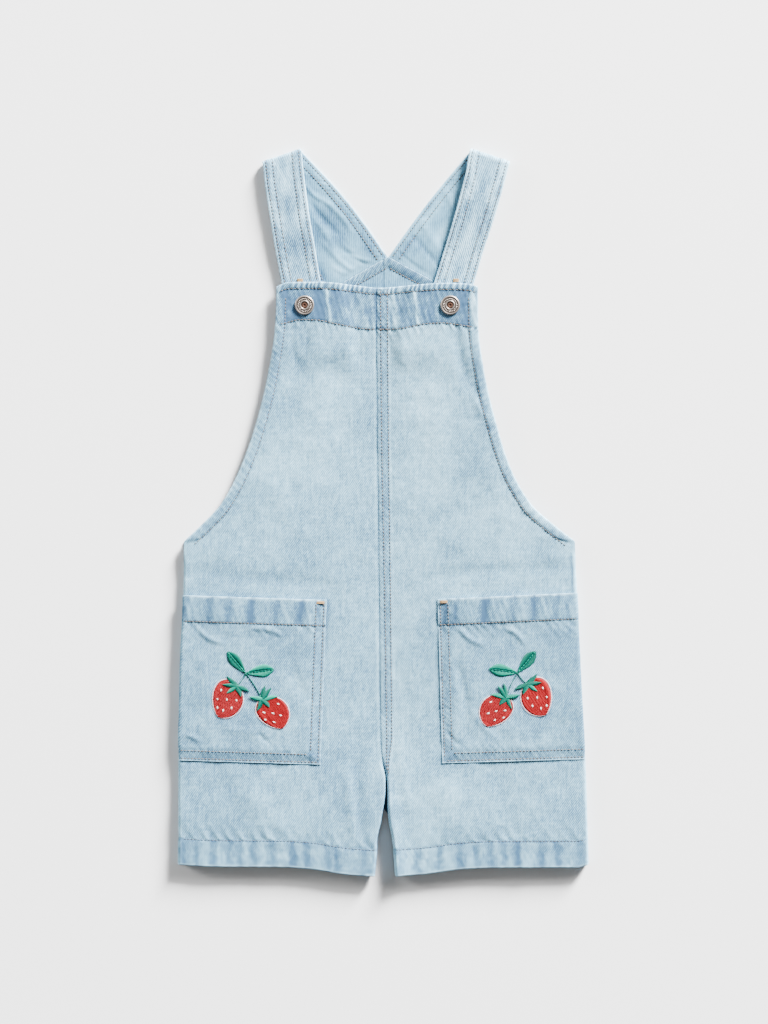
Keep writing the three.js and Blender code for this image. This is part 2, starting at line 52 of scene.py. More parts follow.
# Cloth sizes shared with the CAD model
cloth = {
    "wall": 1.2,
    "layerGap": 0.5,
    "bibLoft": 1.2,
    "yokeLift": 0.6,
    "sideLoft": 2.9,
    "seamZ": 3.0,
    "seamGap": 0.3,
    "curl": 0.5,
    "foldWidth": 2.1,
    "strapTop": 4.4,
    "strapToBib": 0.35,
    "edgeRadius": 0.9,
}
overStrapTop = cloth["strapTop"] + cloth["strapToBib"] + cloth["wall"]  # the bib's outer face over a strap
front = {
    "armhole": rows(
        "y left right",
        (180.6, -85.6, 75.6), (151, -86.6, 75.9), (112, -92.2, 80.8), (74, -101.2, 89.6),
        (36, -114.4, 101.6), (7, -130.0, 118.0), (-12, -147.8, 139.0), (-23, -159.6, 153.2),
    ),
    "sideSeam": rows(
        "y left right",
        (-23, -159.6, 153.2), (-70, -160.4, 155.2), (-110, -162.4, 157.2), (-150, -163.6, 159.0),
        (-198, -164.2, 161.8), (-283, -164.4, 164.4),
    ),
    "inner": rows(
        "y left right",
        (185, -6.2, -5.8), (58, -5.2, -4.8), (-38, -4.0, -3.6), (-182, -2.4, -1.95), (-200, -1.0, -0.4),
        (-211, 1.6, 2.2), (-222, 2.0, 2.9), (-234, 0.8, 3.2), (-240, -0.2, 3.5), (-250, -2.2, 4.6),
        (-261, -4.8, 6.9), (-272, -5.2, 8.0), (-292, -6.8, 9.7),
    ),
    "bibTop": rows(
        "x y",
        (-85.6, 180.6), (-76, 184.2), (-50, 184.4), (-26, 182.2), (-3, 179.8), (24, 182.0), (50, 183.6),
        (67, 183.0), (75.6, 180.6),
    ),
    "hemLeft": rows(
        "x y",
        (-164.4, -282), (-130, -283.6), (-85, -283.8), (-60, -285.2), (-29, -289.8), (-6.8, -291.5),
    ),
    "hemRight": rows(
        "x y",
        (9.6, -291.0), (31, -289.6), (64, -285.4), (87, -284.4), (154, -284.2), (164.4, -282),
    ),
    "bandStitch": rows(
        "x y",
        (-80, 150.8), (-66.8, 154.1), (-53.2, 153.8), (-39.1, 151.0), (-9.2, 146.6), (7.6, 146.6),
        (35.6, 151.0), (47.6, 151.5), (58.8, 150.2), (71.6, 148.3),
    ),
    "topStitch": 5.4,
    "armholeStitch": 7.6,
    "hemStitch": 21.0,
}
# The centre lap's two rows of stitches, by their distances from the seam; they meet at the fork
lapRows = rows(
    "y first second",
    (190, 3.3, 8.8), (60, 3.4, 8.8), (-150, 4.7, 9.0), (-180, 4.7, 8.6), (-196, 3.4, 5.6),
    (-211, 0.9, 1.5),
)
# Blue patches and pale stripes of the wash along the turned hems: the place in x, half width and tone
washPatches = {
    "band": rows(
        "at half tone",
        (-74, 6, -0.35), (-52, 4.5, -0.6), (-44, 1.5, 0.9), (-36.4, 4, -0.3), (-18.8, 6, 0.45),
        (-9.6, 1.4, 0.5), (0.6, 2.6, 0.35), (8.4, 2.8, 0.6), (18, 4, -0.1), (26, 1.5, 0.9),
        (35.6, 4, -0.25), (63.8, 3.4, -0.5), (72.4, 3, 1.0), (-83, 2, 0.6),
    ),
    "hem": rows(
        "at half tone",
        (-160.4, 3, -0.6), (-149.2, 2.6, -0.4), (-136.4, 2.6, -0.6), (-122.8, 3, -0.5), (-114.8, 3, -0.5),
        (-103.6, 3.4, -0.6), (-89.2, 3.6, -0.6), (-73.2, 3, -0.9), (-62, 2.6, -0.8), (-45.2, 2.4, -0.6),
        (-38, 2.6, -0.7), (-15.6, 2.6, -0.4), (14, 4, -0.2), (27.6, 2.8, -0.5), (45.2, 3, -0.5),
        (61.2, 3.4, -0.6), (73.2, 2.6, -0.5), (86, 2.6, -0.6), (96.4, 2.6, -0.5), (106.8, 3, -0.9),
        (126.8, 3.2, -0.7), (139.6, 3.4, -0.7), (157, 4, -0.4),
    ),
    "pocket": rows(
        "at half tone",
        (-159.6, 3, -0.5), (-139.6, 3, -0.5), (-123.6, 3.4, -0.5), (-106, 2.8, -1.0), (-86, 3, -0.5),
        (-66.8, 3.2, -0.8), (-51.6, 2.4, -0.4), (49.2, 2, -0.6), (57.2, 2.2, -0.5), (81.2, 3, -1.1),
        (103.6, 3.2, -0.5), (120.4, 3.2, -0.8), (138, 3, -0.4), (148, 2.6, -0.3),
    ),
}
back = {
    "armhole": rows(
        "y left right",
        (170, -58, 58), (130, -63, 62), (90, -73, 69), (50, -88, 81), (20, -106, 97), (0, -125, 114),
        (-14, -146, 136), (-23, -159.6, 153.2),
    ),
    "inner": rows(
        "y left right",
        (205, -0.15, -0.05), (-236, -0.15, -0.05), (-243, -1.2, 4.2), (-250, -3.2, 6.2),
        (-261, -6.4, 8.6), (-292, -8.6, 11.6),
    ),
    "apex": (3.6, 203.8),
    "slope": {"left": 0.567, "right": 0.534},
    "slopeCosine": 0.87,
    "topRow": 170.0,
    "overlap": 1.2,
    "stitch": 7.6,
    "seamRow": 4.0,
}
straps = {
    "left": {
        "front": rows(
            "y inner outer",
            (142, -42.0, -73.6), (184, -50.2, -81.6), (210, -54.8, -86.6), (234, -59.6, -90.5),
            (262, -63.9, -94.8),
        ),
        "foldInner": (-66.4, 291.5),
        "foldOuter": (-97.4, 281.0),
        "sewnInner": (3.4, 204.2),
        "sewnOuter": (-52, 173.1),
        "bow": 2.4,
        "foldTop": 5.8,
        "buttonX": -63.2,
    },
    "right": {
        "front": rows(
            "y inner outer",
            (142, 27.2, 61.0), (184, 40.3, 72.8), (210, 49.0, 80.4), (234, 57.4, 88.4), (262, 66.0, 96.4),
        ),
        "foldInner": (69.7, 291.5),
        "foldOuter": (101.5, 281.0),
        "sewnInner": (3.8, 204.2),
        "sewnOuter": (52, 178.6),
        "bow": 1.2,
        "foldTop": 7.2,
        "buttonX": 53.3,
    },
}
pockets = {
    "left": {
        "innerTop": (-45.6, -70.2),
        "innerBottom": (-50.6, -202.0),
        "outerTopY": -66.4,
        "outerBottomY": -198.6,
    },
    "right": {
        "innerTop": (43.2, -69.6),
        "innerBottom": (47.0, -200.9),
        "outerTopY": -64.4,
        "outerBottomY": -197.6,
    },
}
pocketSizes = {"height": 132.0, "gap": 0.4, "gape": 0.9, "hem": 20.6, "rows": (2.0, 8.2)}

# The front's larger soft creases: a line, its half width, its height (a trough is below zero) and its bend
frontCreases = rows(
    "x0 y0 x1 y1 half height bend",
    (58, 146, 74, 92, 4.2, -1.0, 3), (66, 112, 82, 74, 3.0, 0.5, 2), (-64, 142, -80, 78, 6, -0.6, -3),
    (-74, 148, -70, 118, 2.6, -0.5, 1), (-60, 146, -62, 128, 2.2, -0.4, 0),
    (-46, 120, -52, 40, 13, 0.6, 0), (34, 110, 46, 20, 14, 0.6, 0), (-150, -48, -44, -57, 6, -0.5, 2),
    (40, -52, 148, -44, 6, -0.5, -2), (-20, -190, -17, -262, 5, -0.8, 2),
    (-30, -206, -24, -258, 4, 0.6, -1), (-112, -214, -78, -258, 12, 0.6, 3),
    (92, -210, 104, -262, 9, -0.6, 0), (50, -214, 66, -262, 12, 0.6, 0), (12, -180, 20, -236, 5, 0.5, 1),
    (-96, 40, -60, -20, 10, 0.4, 4), (96, 34, 62, -30, 10, 0.4, -4),
)
# Smaller creases of the pockets
pocketCreases = {
    "left": rows(
        "x0 y0 x1 y1 half height bend",
        (-147, -94, -130, -104, 2.0, 0.6, 2), (-104, -93, -82, -98, 1.8, 0.6, -2),
        (-100, -176, -92, -184, 1.8, -0.6, 1), (-158, -178, -146, -184, 1.8, 0.5, -1),
        (-76, -112, -60, -150, 5, -0.5, 3), (-150, -112, -142, -150, 6, 0.5, -3),
        (-128, -170, -96, -176, 4, 0.4, 2),
    ),
    "right": rows(
        "x0 y0 x1 y1 half height bend",
        (62, -94, 80, -106, 2.0, 0.6, 2), (98, -93, 112, -104, 1.8, 0.6, -2),
        (58, -120, 66, -172, 3.4, -0.6, -3), (72, -160, 92, -182, 2.6, 0.5, 2),
        (132, -150, 118, -182, 4, -0.4, 2), (52, -176, 60, -186, 1.8, -0.5, 1),
    ),
}


def clamp01(value):
    return np.clip(value, 0.0, 1.0)


def mix(a, b, share):
    return a + (b - a) * share


# From 0 at a to 1 at b, smooth between; a may be larger than b
def ramp(a, b, value):
    share = clamp01((value - a) / (b - a))
    return share * share * (3 - 2 * share)


# A smooth curve through a table's rows from one column to another: cubic pieces whose slope at a row is
# the harmonic mean of the slopes beside it, so that nothing overshoots
def curveThrough(table, source, target):
    ordered = sorted(table, key=lambda row: row[source])
    at = np.array([row[source] for row in ordered], float)
    to = np.array([row[target] for row in ordered], float)
    steps = np.diff(to) / np.diff(at)
    before, after = np.r_[steps[:1], steps], np.r_[steps, steps[-1:]]
    total = np.where(before + after == 0, 1, before + after)
    slopes = np.where(before * after <= 0, 0, 2 * before * after / total)

    def value(x):
        x = np.clip(x, at[0], at[-1])
        i = np.clip(np.searchsorted(at, x, side="right") - 1, 0, len(at) - 2)
        width = at[i + 1] - at[i]
        s = (x - at[i]) / width
        start = to[i] + s * s * (3 - 2 * s) * (to[i + 1] - to[i])
        return start + width * (s * (1 - s) ** 2 * slopes[i] - s * s * (1 - s) * slopes[i + 1])

    return value


# Smooth random hills from -1 to 1, one cell for each unit, from a hash of the cell's corners
def noise(x, y, seed):
    x, y = np.broadcast_arrays(np.asarray(x, float), np.asarray(y, float))
    i, j = np.floor(x), np.floor(y)
    s, t = x - i, y - j
    s, t = s * s * (3 - 2 * s), t * t * (3 - 2 * t)

    def corner(a, b):
        value = np.sin(a * 127.1 + b * 311.7 + seed * 74.7) * 43758.5453
        return 2 * (value - np.floor(value)) - 1

    low = mix(corner(i, j), corner(i + 1, j), s)
    high = mix(corner(i, j + 1), corner(i + 1, j + 1), s)
    return mix(low, high, t)


# Three layers of hills, each half the size and 0.55 of the height of the one before
def rumple(x, y, size, seed):
    return sum(0.55**k * noise(x * 2**k / size, y * 2**k / size, seed + 7 * k) for k in range(3))


# The slanted ridges of a twisted hem, from -1 to 1: a wave whose pitch and strength wander
def ropes(along, across, pitch, slant, seed):
    run = (along + slant * across) / pitch
    phase = 2 * np.pi * (run + 0.55 * noise(run / 2.3, across / 40, seed))
    strength = 0.65 + 0.35 * noise(run / 1.7, across / 30, seed + 1)
    return np.sin(phase) * strength


# A wave from -1 to 1, whose crests a power above 1 makes narrower and one below 1 wider
def crisp(wave, power):
    return 2 * (0.5 + 0.5 * wave) ** power - 1


# 1 on a line, falling smoothly to 0 about two widths away
def near(distance, width):
    return np.exp(-((distance / width) ** 2))


# The sum of soft troughs and ridges: each a bell across its line, fading out past its two ends
def creases(table, x, y):
    height = np.zeros(np.broadcast(x, y).shape)
    for row in table:
        dx, dy = row["x1"] - row["x0"], row["y1"] - row["y0"]
        length = np.hypot(dx, dy)
        along = ((x - row["x0"]) * dx + (y - row["y0"]) * dy) / length**2
        away = ((x - row["x0"]) * dy - (y - row["y0"]) * dx) / length
        away = away - row["bend"] * np.sin(np.pi * clamp01(along))
        ends = ramp(-0.25, 0.25, along) * ramp(1.25, 0.75, along)
        height = height + row["height"] * ends * near(away, row["half"])
    return height


# The wash's tone along one kind of hem: a bell for each of its patches
def patchTone(kind, x):
    return sum(row["tone"] * near(x - row["at"], row["half"]) for row in washPatches[kind])


# The height of a padded hem: half an ellipse of this radius, and nothing past it
def roll(distance, radius):
    return np.sqrt(clamp01(1 - ((distance - radius) / radius) ** 2))


# How far a turned edge rolls down towards its rim: the drop of a quarter circle
def edgeRoll(distance, radius=cloth["edgeRadius"]):
    turn = clamp01(1 - distance / radius)
    return radius * (1 - np.sqrt(1 - turn * turn))


armhole = {side: curveThrough(front["armhole"], "y", side) for side in sides}
sideSeam = {side: curveThrough(front["sideSeam"], "y", side) for side in sides}
frontInner = {side: curveThrough(front["inner"], "y", side) for side in sides}
backArmhole = {side: curveThrough(back["armhole"], "y", side) for side in sides}
backInner = {side: curveThrough(back["inner"], "y", side) for side in sides}
bibTop = curveThrough(front["bibTop"], "x", "y")
bandStitch = curveThrough(front["bandStitch"], "x", "y")
hemEdge = {
    "left": curveThrough(front["hemLeft"], "x", "y"),
    "right": curveThrough(front["hemRight"], "x", "y"),
}
underarmY = -23.0


# A front panel's outer edge: the armhole above the underarm and the side seam below it
def frontOuter(side, y):
    return np.where(y > underarmY, armhole[side](y), sideSeam[side](y))


# The same for a back panel, whose armhole is cut deeper
def backOuter(side, y):
    return np.where(y > underarmY, backArmhole[side](y), sideSeam[side](y))


# How far a fold has turned: 1 on its edge, falling to 0 at the fold's width
def foldTurn(distance):
    return clamp01(1 - distance / cloth["foldWidth"])


# How far a fold has come down: the drop of a quarter circle, as a share
def foldDrop(turn):
    return 1 - np.sqrt(1 - turn * turn)


# 1 where the bib lies on a strap's end, falling to 0 around it
def overStrap(side, x, y):
    inner = curveThrough(straps[side]["front"], "y", "inner")(y)
    outer = curveThrough(straps[side]["front"], "y", "outer")(y)
    away = np.abs(x - (inner + outer) / 2) - np.abs(outer - inner) / 2
    return ramp(24, 11, away) * ramp(108, 132, y)


# The front's plain form: the height of its outer face and how far that leans over at a fold
def frontForm(side, x, y):
    outer, inner = frontOuter(side, y), frontInner[side](y)
    share = clamp01((x - inner) / (outer - inner))
    legShare = ramp(-150, -228, y)
    loft = mix(cloth["bibLoft"], cloth["sideLoft"], ramp(60, -40, y))
    bodyLoft = loft * (1 - (1 - share) ** 2)
    legLoft = cloth["sideLoft"] * (0.88 + 0.12 * np.sin(np.pi * share))
    lying = 2 * cloth["wall"] + cloth["layerGap"] + cloth["yokeLift"] * ramp(110, 165, y)
    lying = lying + mix(bodyLoft, legLoft, legShare) + 1.7 * ramp(-180, -262, y)
    lying = lying + (2.6 if side == "right" else 0.2) * ramp(-205, -240, y) * near(x - inner, 9)
    lying = lying + 1.6 * ramp(0.3, 1, share) * ramp(-14, 50, y) * ramp(150, 112, y)
    covered = overStrap(side, x, y)
    fromOuter = np.abs(outer - x)
    sideFold = ramp(-20, -48, y)
    sideTurn = sideFold * foldTurn(fromOuter)
    legTurn = ramp(-176, -216, y) * foldTurn(np.abs(x - inner))
    curl = cloth["curl"] * (1 - sideFold) * clamp01(1 - fromOuter / 8) ** 2
    flat = mix(lying - curl, overStrapTop, covered)
    drop = (flat - cloth["seamZ"] - cloth["seamGap"] / 2) * (foldDrop(sideTurn) + foldDrop(legTurn))
    return flat - drop, outwardX[side] * (sideTurn - legTurn)


# Signed distances inside a pocket from its top, its inner edge and its bottom
def pocketPlace(side, x, y):
    shape = pockets[side]
    outerX = sideSeam[side](y)
    (topX, topY), (bottomX, bottomY) = shape["innerTop"], shape["innerBottom"]
    down = clamp01((topY - y) / (topY - bottomY))
    innerX = mix(topX, bottomX, down)
    across = clamp01((x - outerX) / (innerX - outerX))
    top = mix(shape["outerTopY"], topY, across)
    bottom = mix(shape["outerBottomY"], bottomY, across)
    return top - y, (innerX - x) * -outwardX[side], y - bottom


# The height that a row of stitches presses into the cloth, and a darker tone along it: painted shade in the
# pressed groove
def stitchPress(distance, amount):
    return -0.11 * amount * near(distance, 0.9), -0.5 * amount * near(distance, 0.9)


# The sum of two pairs of height and tone, the second one times a share
def added(surface, extra, share=1.0):
    return surface[0] + share * extra[0], surface[1] + share * extra[1]


# Slanted ridges that run off from a row of stitches: their height, and their tone, pale on the crests
def puckers(along, away, pitch, reach, slant, amount, seed):
    inside = ramp(-0.2, 1.4, away) * near(away, reach) * (0.55 + 0.45 * noise(along / 19, away / 9, seed + 4))
    wave = crisp(ropes(along, away, pitch, slant, seed), 1.7) * inside
    fine = ropes(along, away, 0.45 * pitch, slant, seed + 2) * ramp(0, 1, away) * near(away, 0.4 * reach)
    return amount * (wave + 0.3 * fine), 0.55 * amount * wave


# The front's fine form and tones: turned hems, rolled edges, the centre lap, roped hems and puckers, with the
# wash and some painted light and shade. Gives the added height, the tone from -1, blue, to 1, white, and the
# worn edge's strength
def frontFine(side, x, y):
    seed = 11 if side == "left" else 31
    slope = (armhole[side](y + 2) - armhole[side](y - 2)) / 4
    fromArm = np.abs(armhole[side](y) - x) / np.hypot(1, slope)
    fromArm = np.where(y > underarmY, fromArm, 99.0)
    fromTop = bibTop(x) - y
    fromHem = y - hemEdge[side](x)
    fromCentre = np.abs(x - frontInner[side](y))
    fromSide = np.abs(sideSeam[side](y) - x)
    body = ramp(-214, -204, y)
    underBand = bandStitch(x) - y
    belowMouth, besideInner, aboveBottom = pocketPlace(side, x, y)
    insidePocket = np.minimum(np.minimum(belowMouth, besideInner), aboveBottom)
    alongArm = y * 1.15

    height = 0.2 * rumple(x - 0.5 * y, y + 0.4 * x, 17, seed) + 0.06 * rumple(x, y, 5, seed + 3)
    tone = 0.2 * rumple(x, y, 34, seed + 5) + 0.12 * rumple(x - 0.6 * y, y, 6, seed + 6)
    tone = tone - (0.17 if side == "left" else 0.08) - 0.14 * ramp(-150, -210, y)
    # Paler along the side fold below the underarm and along the armhole's edge; along the armhole it is
    # partly wear and partly painted light, lifting the rolled edge that faces away from the key lamp
    tone = tone + 0.5 * near(fromSide, 2.2) * ramp(underarmY, underarmY - 12, y) + 0.3 * near(fromArm, 1.6)
    # Below the fork the legs' inner edges beside the slot carry painted light and shade: a darker tone on the
    # left leg's edge, a lighter one on the right leg's edge
    slotEdgeLightAndShade = 0.4 * near(fromCentre, 2.0) if side == "right" else -1.6 * near(fromCentre, 0.3)
    tone = tone + slotEdgeLightAndShade * ramp(-214, -222, y)
    folds = creases(frontCreases, x, y)
    height, tone = height + folds, tone + 0.25 * folds

    # the bib band between its two rows of stitches, and the narrow ropes above the upper row
    topStitch = front["topStitch"]
    band = ramp(-0.6, 0.6, -underBand) * ramp(topStitch - 0.6, topStitch + 0.6, fromTop)
    lip = ramp(topStitch + 0.5, topStitch - 0.5, fromTop)
    patches = patchTone("band", x + 0.12 * (y - 165) + 0.8 * noise(y / 6, x / 20, seed))
    bandRopes = ropes(x, y, 4.8, 0.3, seed + 8)
    lipRopes = crisp(ropes(x, fromTop, 4.4, 0.3, seed + 9), 0.6)
    height = height + 0.3 * ramp(-1.4, 1.4, -underBand)
    height = height + band * (0.24 * patches + 0.08 * bandRopes)
    height = height + lip * (0.3 * roll(fromTop, 2.6) + 0.45 * lipRopes)
    tone = tone + band * (-0.95 + 1.6 * patches + 0.25 * bandRopes + 0.4 * rumple(x * 1.6, y, 8, seed + 10))
    tone = tone + lip * (-0.9 + 1.7 * lipRopes) - 0.2 * band * near(fromTop - topStitch, 3.2)

    # the leg hem
    hem = ramp(front["hemStitch"] + 0.6, front["hemStitch"] - 0.6, fromHem)
    patches = patchTone("hem", x + 0.05 * (fromHem - 10) + 1.5 * noise(y / 4, x / 12, seed + 1))
    hemRopes = ropes(x, fromHem, 5.2, 0.5, seed + 12)
    height = height + hem * (0.24 + 0.2 * patches)
    tone = tone + hem * (0.04 + 1.45 * patches + 0.12 * hemRopes + 0.25 * rumple(x, y * 0.7, 3.2, seed + 2))

    # the armhole's narrow hem
    armStitch = front["armholeStitch"]
    armHem = ramp(armStitch + 0.5, armStitch - 0.5, fromArm) * (1 - lip) * (1 - 0.8 * band)
    armRopes = ropes(alongArm, fromArm, 5.4, 0.8, seed + 14)
    height = height + armHem * (0.2 + 0.35 * roll(fromArm, 3.8) + 0.17 * armRopes)
    tone = tone + armHem * (-0.2 + 0.4 * armRopes + 0.3 * rumple(alongArm, fromArm, 22, seed + 15))

    # the centre seam and, right of it, the lap with its two rows, which narrows to a point at the fork
    # Painted shade: a darker tone in the centre seam's groove, stronger on the bib band. A paler line runs
    # beside it.
    paintedGrooveShade = 0.25 + 0.6 * ramp(141, 149, y)
    tone = tone - paintedGrooveShade * near(fromCentre, 0.55) * body + 0.4 * near(fromCentre - 1.6, 0.9) * body
    firstRow = curveThrough(lapRows, "y", "first")(y)
    secondRow = curveThrough(lapRows, "y", "second")(y)
    if side == "right":
        lap = ramp(secondRow + 1.2, secondRow + 0.2, fromCentre) * body
        lapRopes = ropes(y, fromCentre, 4.2, 0.9, seed + 16)
        height = height + lap * (0.3 * ramp(0, 2.4, fromCentre) + 0.06 * lapRopes)
        tone = tone + lap * (-0.3 + 0.3 * lapRopes) + 0.4 * near(fromCentre - secondRow - 1.4, 0.8) * body
        for row in (firstRow, secondRow):
            height, tone = added((height, tone), stitchPress(fromCentre - row, 0.75), body)

    # rows of stitches, and the puckers beside them
    fromHemStitch = fromHem - front["hemStitch"]
    for distance, amount in (
        (fromTop - topStitch, 0.4),
        (underBand, 0.7),
        (fromHemStitch, 1.4),
        (fromArm - armStitch, 1.1),
    ):
        height, tone = added((height, tone), stitchPress(distance, amount))
    besideLap = fromCentre - (secondRow + 0.6 if side == "right" else 0.8)
    for away, along, pitch, reach, slant, amount, step in (
        (underBand, x, 7.5, 8.0, -0.35, 0.42, 20),
        (fromHemStitch, x, 10.0, 11.0, 0.6, 0.46, 22),
        (fromArm - armStitch, alongArm, 7.0, 6.0, 0.5, 0.2, 24),
        (besideLap, y, 6.0, 5.0, 0.6, 0.12, 26),
    ):
        height, tone = added((height, tone), puckers(along, away, pitch, reach, slant, amount, seed + step))

    # the side seam's short piece above the right pocket
    seamShows = near(fromSide - 3.4, 0.7) * (ramp(-30, -36, y) * ramp(-66, -62, y) if side == "right" else 0)
    tone = tone - 0.9 * seamShows

    fromLoose = np.minimum(np.minimum(fromTop, fromArm), fromHem)
    height = height - edgeRoll(fromLoose) - edgeRoll(fromCentre, 0.3) * body
    worn = np.maximum.reduce([
        0.3 * near(fromTop - 0.4, 0.7),
        0.6 * near(fromArm - 0.4, 0.8),
        0.9 * near(fromHem - 0.5, 1.0),
    ])
    covered = ramp(-4.5, 0.5, insidePocket)
    beside = near(insidePocket + 1.0, 1.5) * ramp(0.4, -0.4, insidePocket)
    strong = ramp(46, 8, belowMouth) * ramp(-2, 1, belowMouth) * ramp(2, -1, besideInner)
    tone = tone - (0.15 + (0.8 * strong if side == "left" else 0)) * beside
    return height * (1 - 0.9 * covered), tone, worn


# A pocket's fine form over the front's plain form: its roped hem, its double rows and its puckers
def pocketFine(side, x, y):
    seed = 51 if side == "left" else 71
    fromTop, fromInner, fromBottom = pocketPlace(side, x, y)
    fromOuter = np.abs(sideSeam[side](y) - x)
    height = 0.24 * rumple(x - 0.5 * y, y + 0.4 * x, 19, seed) + 0.06 * rumple(x, y, 5, seed + 3)
    height = height + creases(pocketCreases[side], x, y)
    tone = -0.32 + 0.22 * rumple(x, y, 28, seed + 5) + 0.12 * rumple(x - 0.6 * y, y, 6, seed + 6)
    down = clamp01(fromTop / (fromTop + fromBottom))
    mouth = ramp(0.3, 0, down) * ramp(0, 30, fromInner) * ramp(0, 30, fromOuter)
    height = height + pocketSizes["gape"] * mouth

    stitch = pocketSizes["hem"]
    hem = ramp(stitch + 0.6, stitch - 0.6, fromTop)
    patches = patchTone("pocket", x + 0.1 * (fromTop - 10) + 0.9 * noise(y / 5, x / 20, seed + 1))
    hemRopes = ropes(x, fromTop, 5.4, -0.3, seed + 8)
    height = height + hem * (0.34 + 0.26 * patches + 0.05 * hemRopes)
    tone = tone + hem * (0.06 + 1.6 * patches + 0.26 * hemRopes + 0.15 * near(fromTop, 4))
    firstRow, secondRow = pocketSizes["rows"]
    for distance, along in ((fromInner, y), (fromBottom, x)):
        between = ramp(secondRow + 0.6, secondRow - 0.6, distance)
        wave = ropes(along, distance, 5.2, 0.8, seed + 10)
        height = height + between * (0.2 + 0.05 * wave)
        tone = tone + between * (-0.16 + 0.24 * wave) * (1 - 0.7 * hem)
        for row in (firstRow, secondRow):
            height, tone = added((height, tone), stitchPress(distance - row, 0.75))
        beyond = distance - secondRow
        height, tone = added((height, tone), puckers(along, beyond, 7.0, 7, 0.7, 0.14, seed + 14))
    height, tone = added((height, tone), stitchPress(fromTop - stitch, 0.8))
    height, tone = added((height, tone), puckers(x, fromTop - stitch, 9.0, 12, -0.85, 0.34, seed + 18))
    fromSewn = np.minimum(fromInner, fromBottom)
    height = height - 1.18 * ramp(12, 1.5, fromSewn) - edgeRoll(np.minimum(fromTop, fromSewn), 0.2)
    worn = np.maximum(0.9 * near(fromTop - 0.5, 0.9), 0.5 * near(fromSewn - 0.3, 0.8))
    return height, tone, worn


# How far a row of a panel moves at x, so that its last row follows the leg's hem
def hemShift(side, x, outerX, y):
    return (hemEdge[side](x) - hemEdge[side](outerX)) * ramp(-190, -262, y)


# The height of the front's outer face with all its fine form
def frontTop(side, x, y):
    return frontForm(side, x, y)[0] + frontFine(side, x, y)[0]


# The height of a pocket's outer face
def pocketTop(side, x, y):
    base = frontForm(side, x, y)[0] + pocketSizes["gap"] + cloth["wall"]
    return base + pocketFine(side, x, y)[0]


# A new shader node group with its sockets, and its input and output nodes
def groupOf(name, inputs, outputs):
    group = bpy.data.node_groups.new(name, "ShaderNodeTree")
    for socket, kind in inputs:
        group.interface.new_socket(socket, in_out="INPUT", socket_type=kind)
    for socket, kind in outputs:
        group.interface.new_socket(socket, in_out="OUTPUT", socket_type=kind)
    return group, group.nodes.new("NodeGroupInput"), group.nodes.new("NodeGroupOutput")


# A Math node; numbers are set on its sockets and sockets are linked
def calculate(tree, operation, *values):
    node = tree.nodes.new("ShaderNodeMath")
    node.operation = operation
    for socket, value in zip(node.inputs, values):
        if isinstance(value, (int, float)):
            socket.default_value = value
        else:
            tree.links.new(value, socket)
    return node.outputs[0]


# A Mix node for colours; tuples are set on its sockets and sockets are linked
def mixColours(tree, factor, a, b):
    node = tree.nodes.new("ShaderNodeMix")
    node.data_type = "RGBA"
    for socket, value in ((node.inputs[0], factor), (node.inputs[6], a), (node.inputs[7], b)):
        if isinstance(value, (int, float)):
            socket.default_value = value
        elif isinstance(value, tuple):
            socket.default_value = (*value, 1.0)
        else:
            tree.links.new(value, socket)
    return node.outputs[2]


# A node of soft noise over the given places
def noiseNode(tree, vector, scale, detail=2.0):
    node = tree.nodes.new("ShaderNodeTexNoise")
    node.inputs["Scale"].default_value = scale
    node.inputs["Detail"].default_value = detail
    tree.links.new(vector, node.inputs["Vector"])
    return node.outputs[0]


# A vector whose x and y are multiplied
def scaled(tree, vector, x, y):
    node = tree.nodes.new("ShaderNodeVectorMath")
    node.operation = "MULTIPLY"
    node.inputs[1].default_value = (x, y, 1.0)
    tree.links.new(vector, node.inputs[0])
    return node.outputs[0]


# Twill: slanted ridges, broken up where the weft dips under, with thick and thin yarns and a mottled
# wash. The vector is in metres on the cloth, and the pitch in metres
def twillGroup():
    group, given, result = groupOf(
        "twill",
        (("Vector", "NodeSocketVector"), ("Pitch", "NodeSocketFloat"), ("Slant", "NodeSocketFloat")),
        (
            ("Ridge", "NodeSocketFloat"),
            ("Yarn", "NodeSocketFloat"),
            ("Mottle", "NodeSocketFloat"),
            ("Streak", "NodeSocketFloat"),
            ("Drift", "NodeSocketFloat"),
        ),
    )
    vector = given.outputs["Vector"]
    wobble = noiseNode(group, vector, 260.0, 1.0)
    group.links.new(wobble, result.inputs["Drift"])
    split = group.nodes.new("ShaderNodeSeparateXYZ")
    group.links.new(vector, split.inputs[0])
    across = calculate(group, "DIVIDE", split.outputs[0], given.outputs["Pitch"])
    down = calculate(group, "DIVIDE", split.outputs[1], given.outputs["Pitch"])
    slant = calculate(group, "MULTIPLY", down, given.outputs["Slant"])
    run = calculate(group, "SUBTRACT", across, slant)
    run = calculate(group, "ADD", run, calculate(group, "MULTIPLY", wobble, 0.9))
    ridge = calculate(group, "SINE", calculate(group, "MULTIPLY", run, 2 * np.pi))
    weft = calculate(group, "SINE", calculate(group, "MULTIPLY", down, 3.7 * np.pi))
    ridge = calculate(group, "ADD", ridge, calculate(group, "MULTIPLY", weft, 0.35))
    group.links.new(calculate(group, "MULTIPLY_ADD", ridge, 0.37, 0.5), result.inputs["Ridge"])
    yarn = noiseNode(group, scaled(group, vector, 900.0, 60.0), 1.0, 1.0)
    crossYarn = noiseNode(group, scaled(group, vector, 50.0, 700.0), 1.0, 1.0)
    yarns = calculate(group, "MULTIPLY_ADD", crossYarn, 0.3, calculate(group, "MULTIPLY", yarn, 0.9))
    group.links.new(yarns, result.inputs["Yarn"])
    group.links.new(noiseNode(group, vector, 420.0, 3.0), result.inputs["Mottle"])
    group.links.new(noiseNode(group, scaled(group, vector, 330.0, 80.0), 1.0, 3.0), result.inputs["Streak"])
    return group


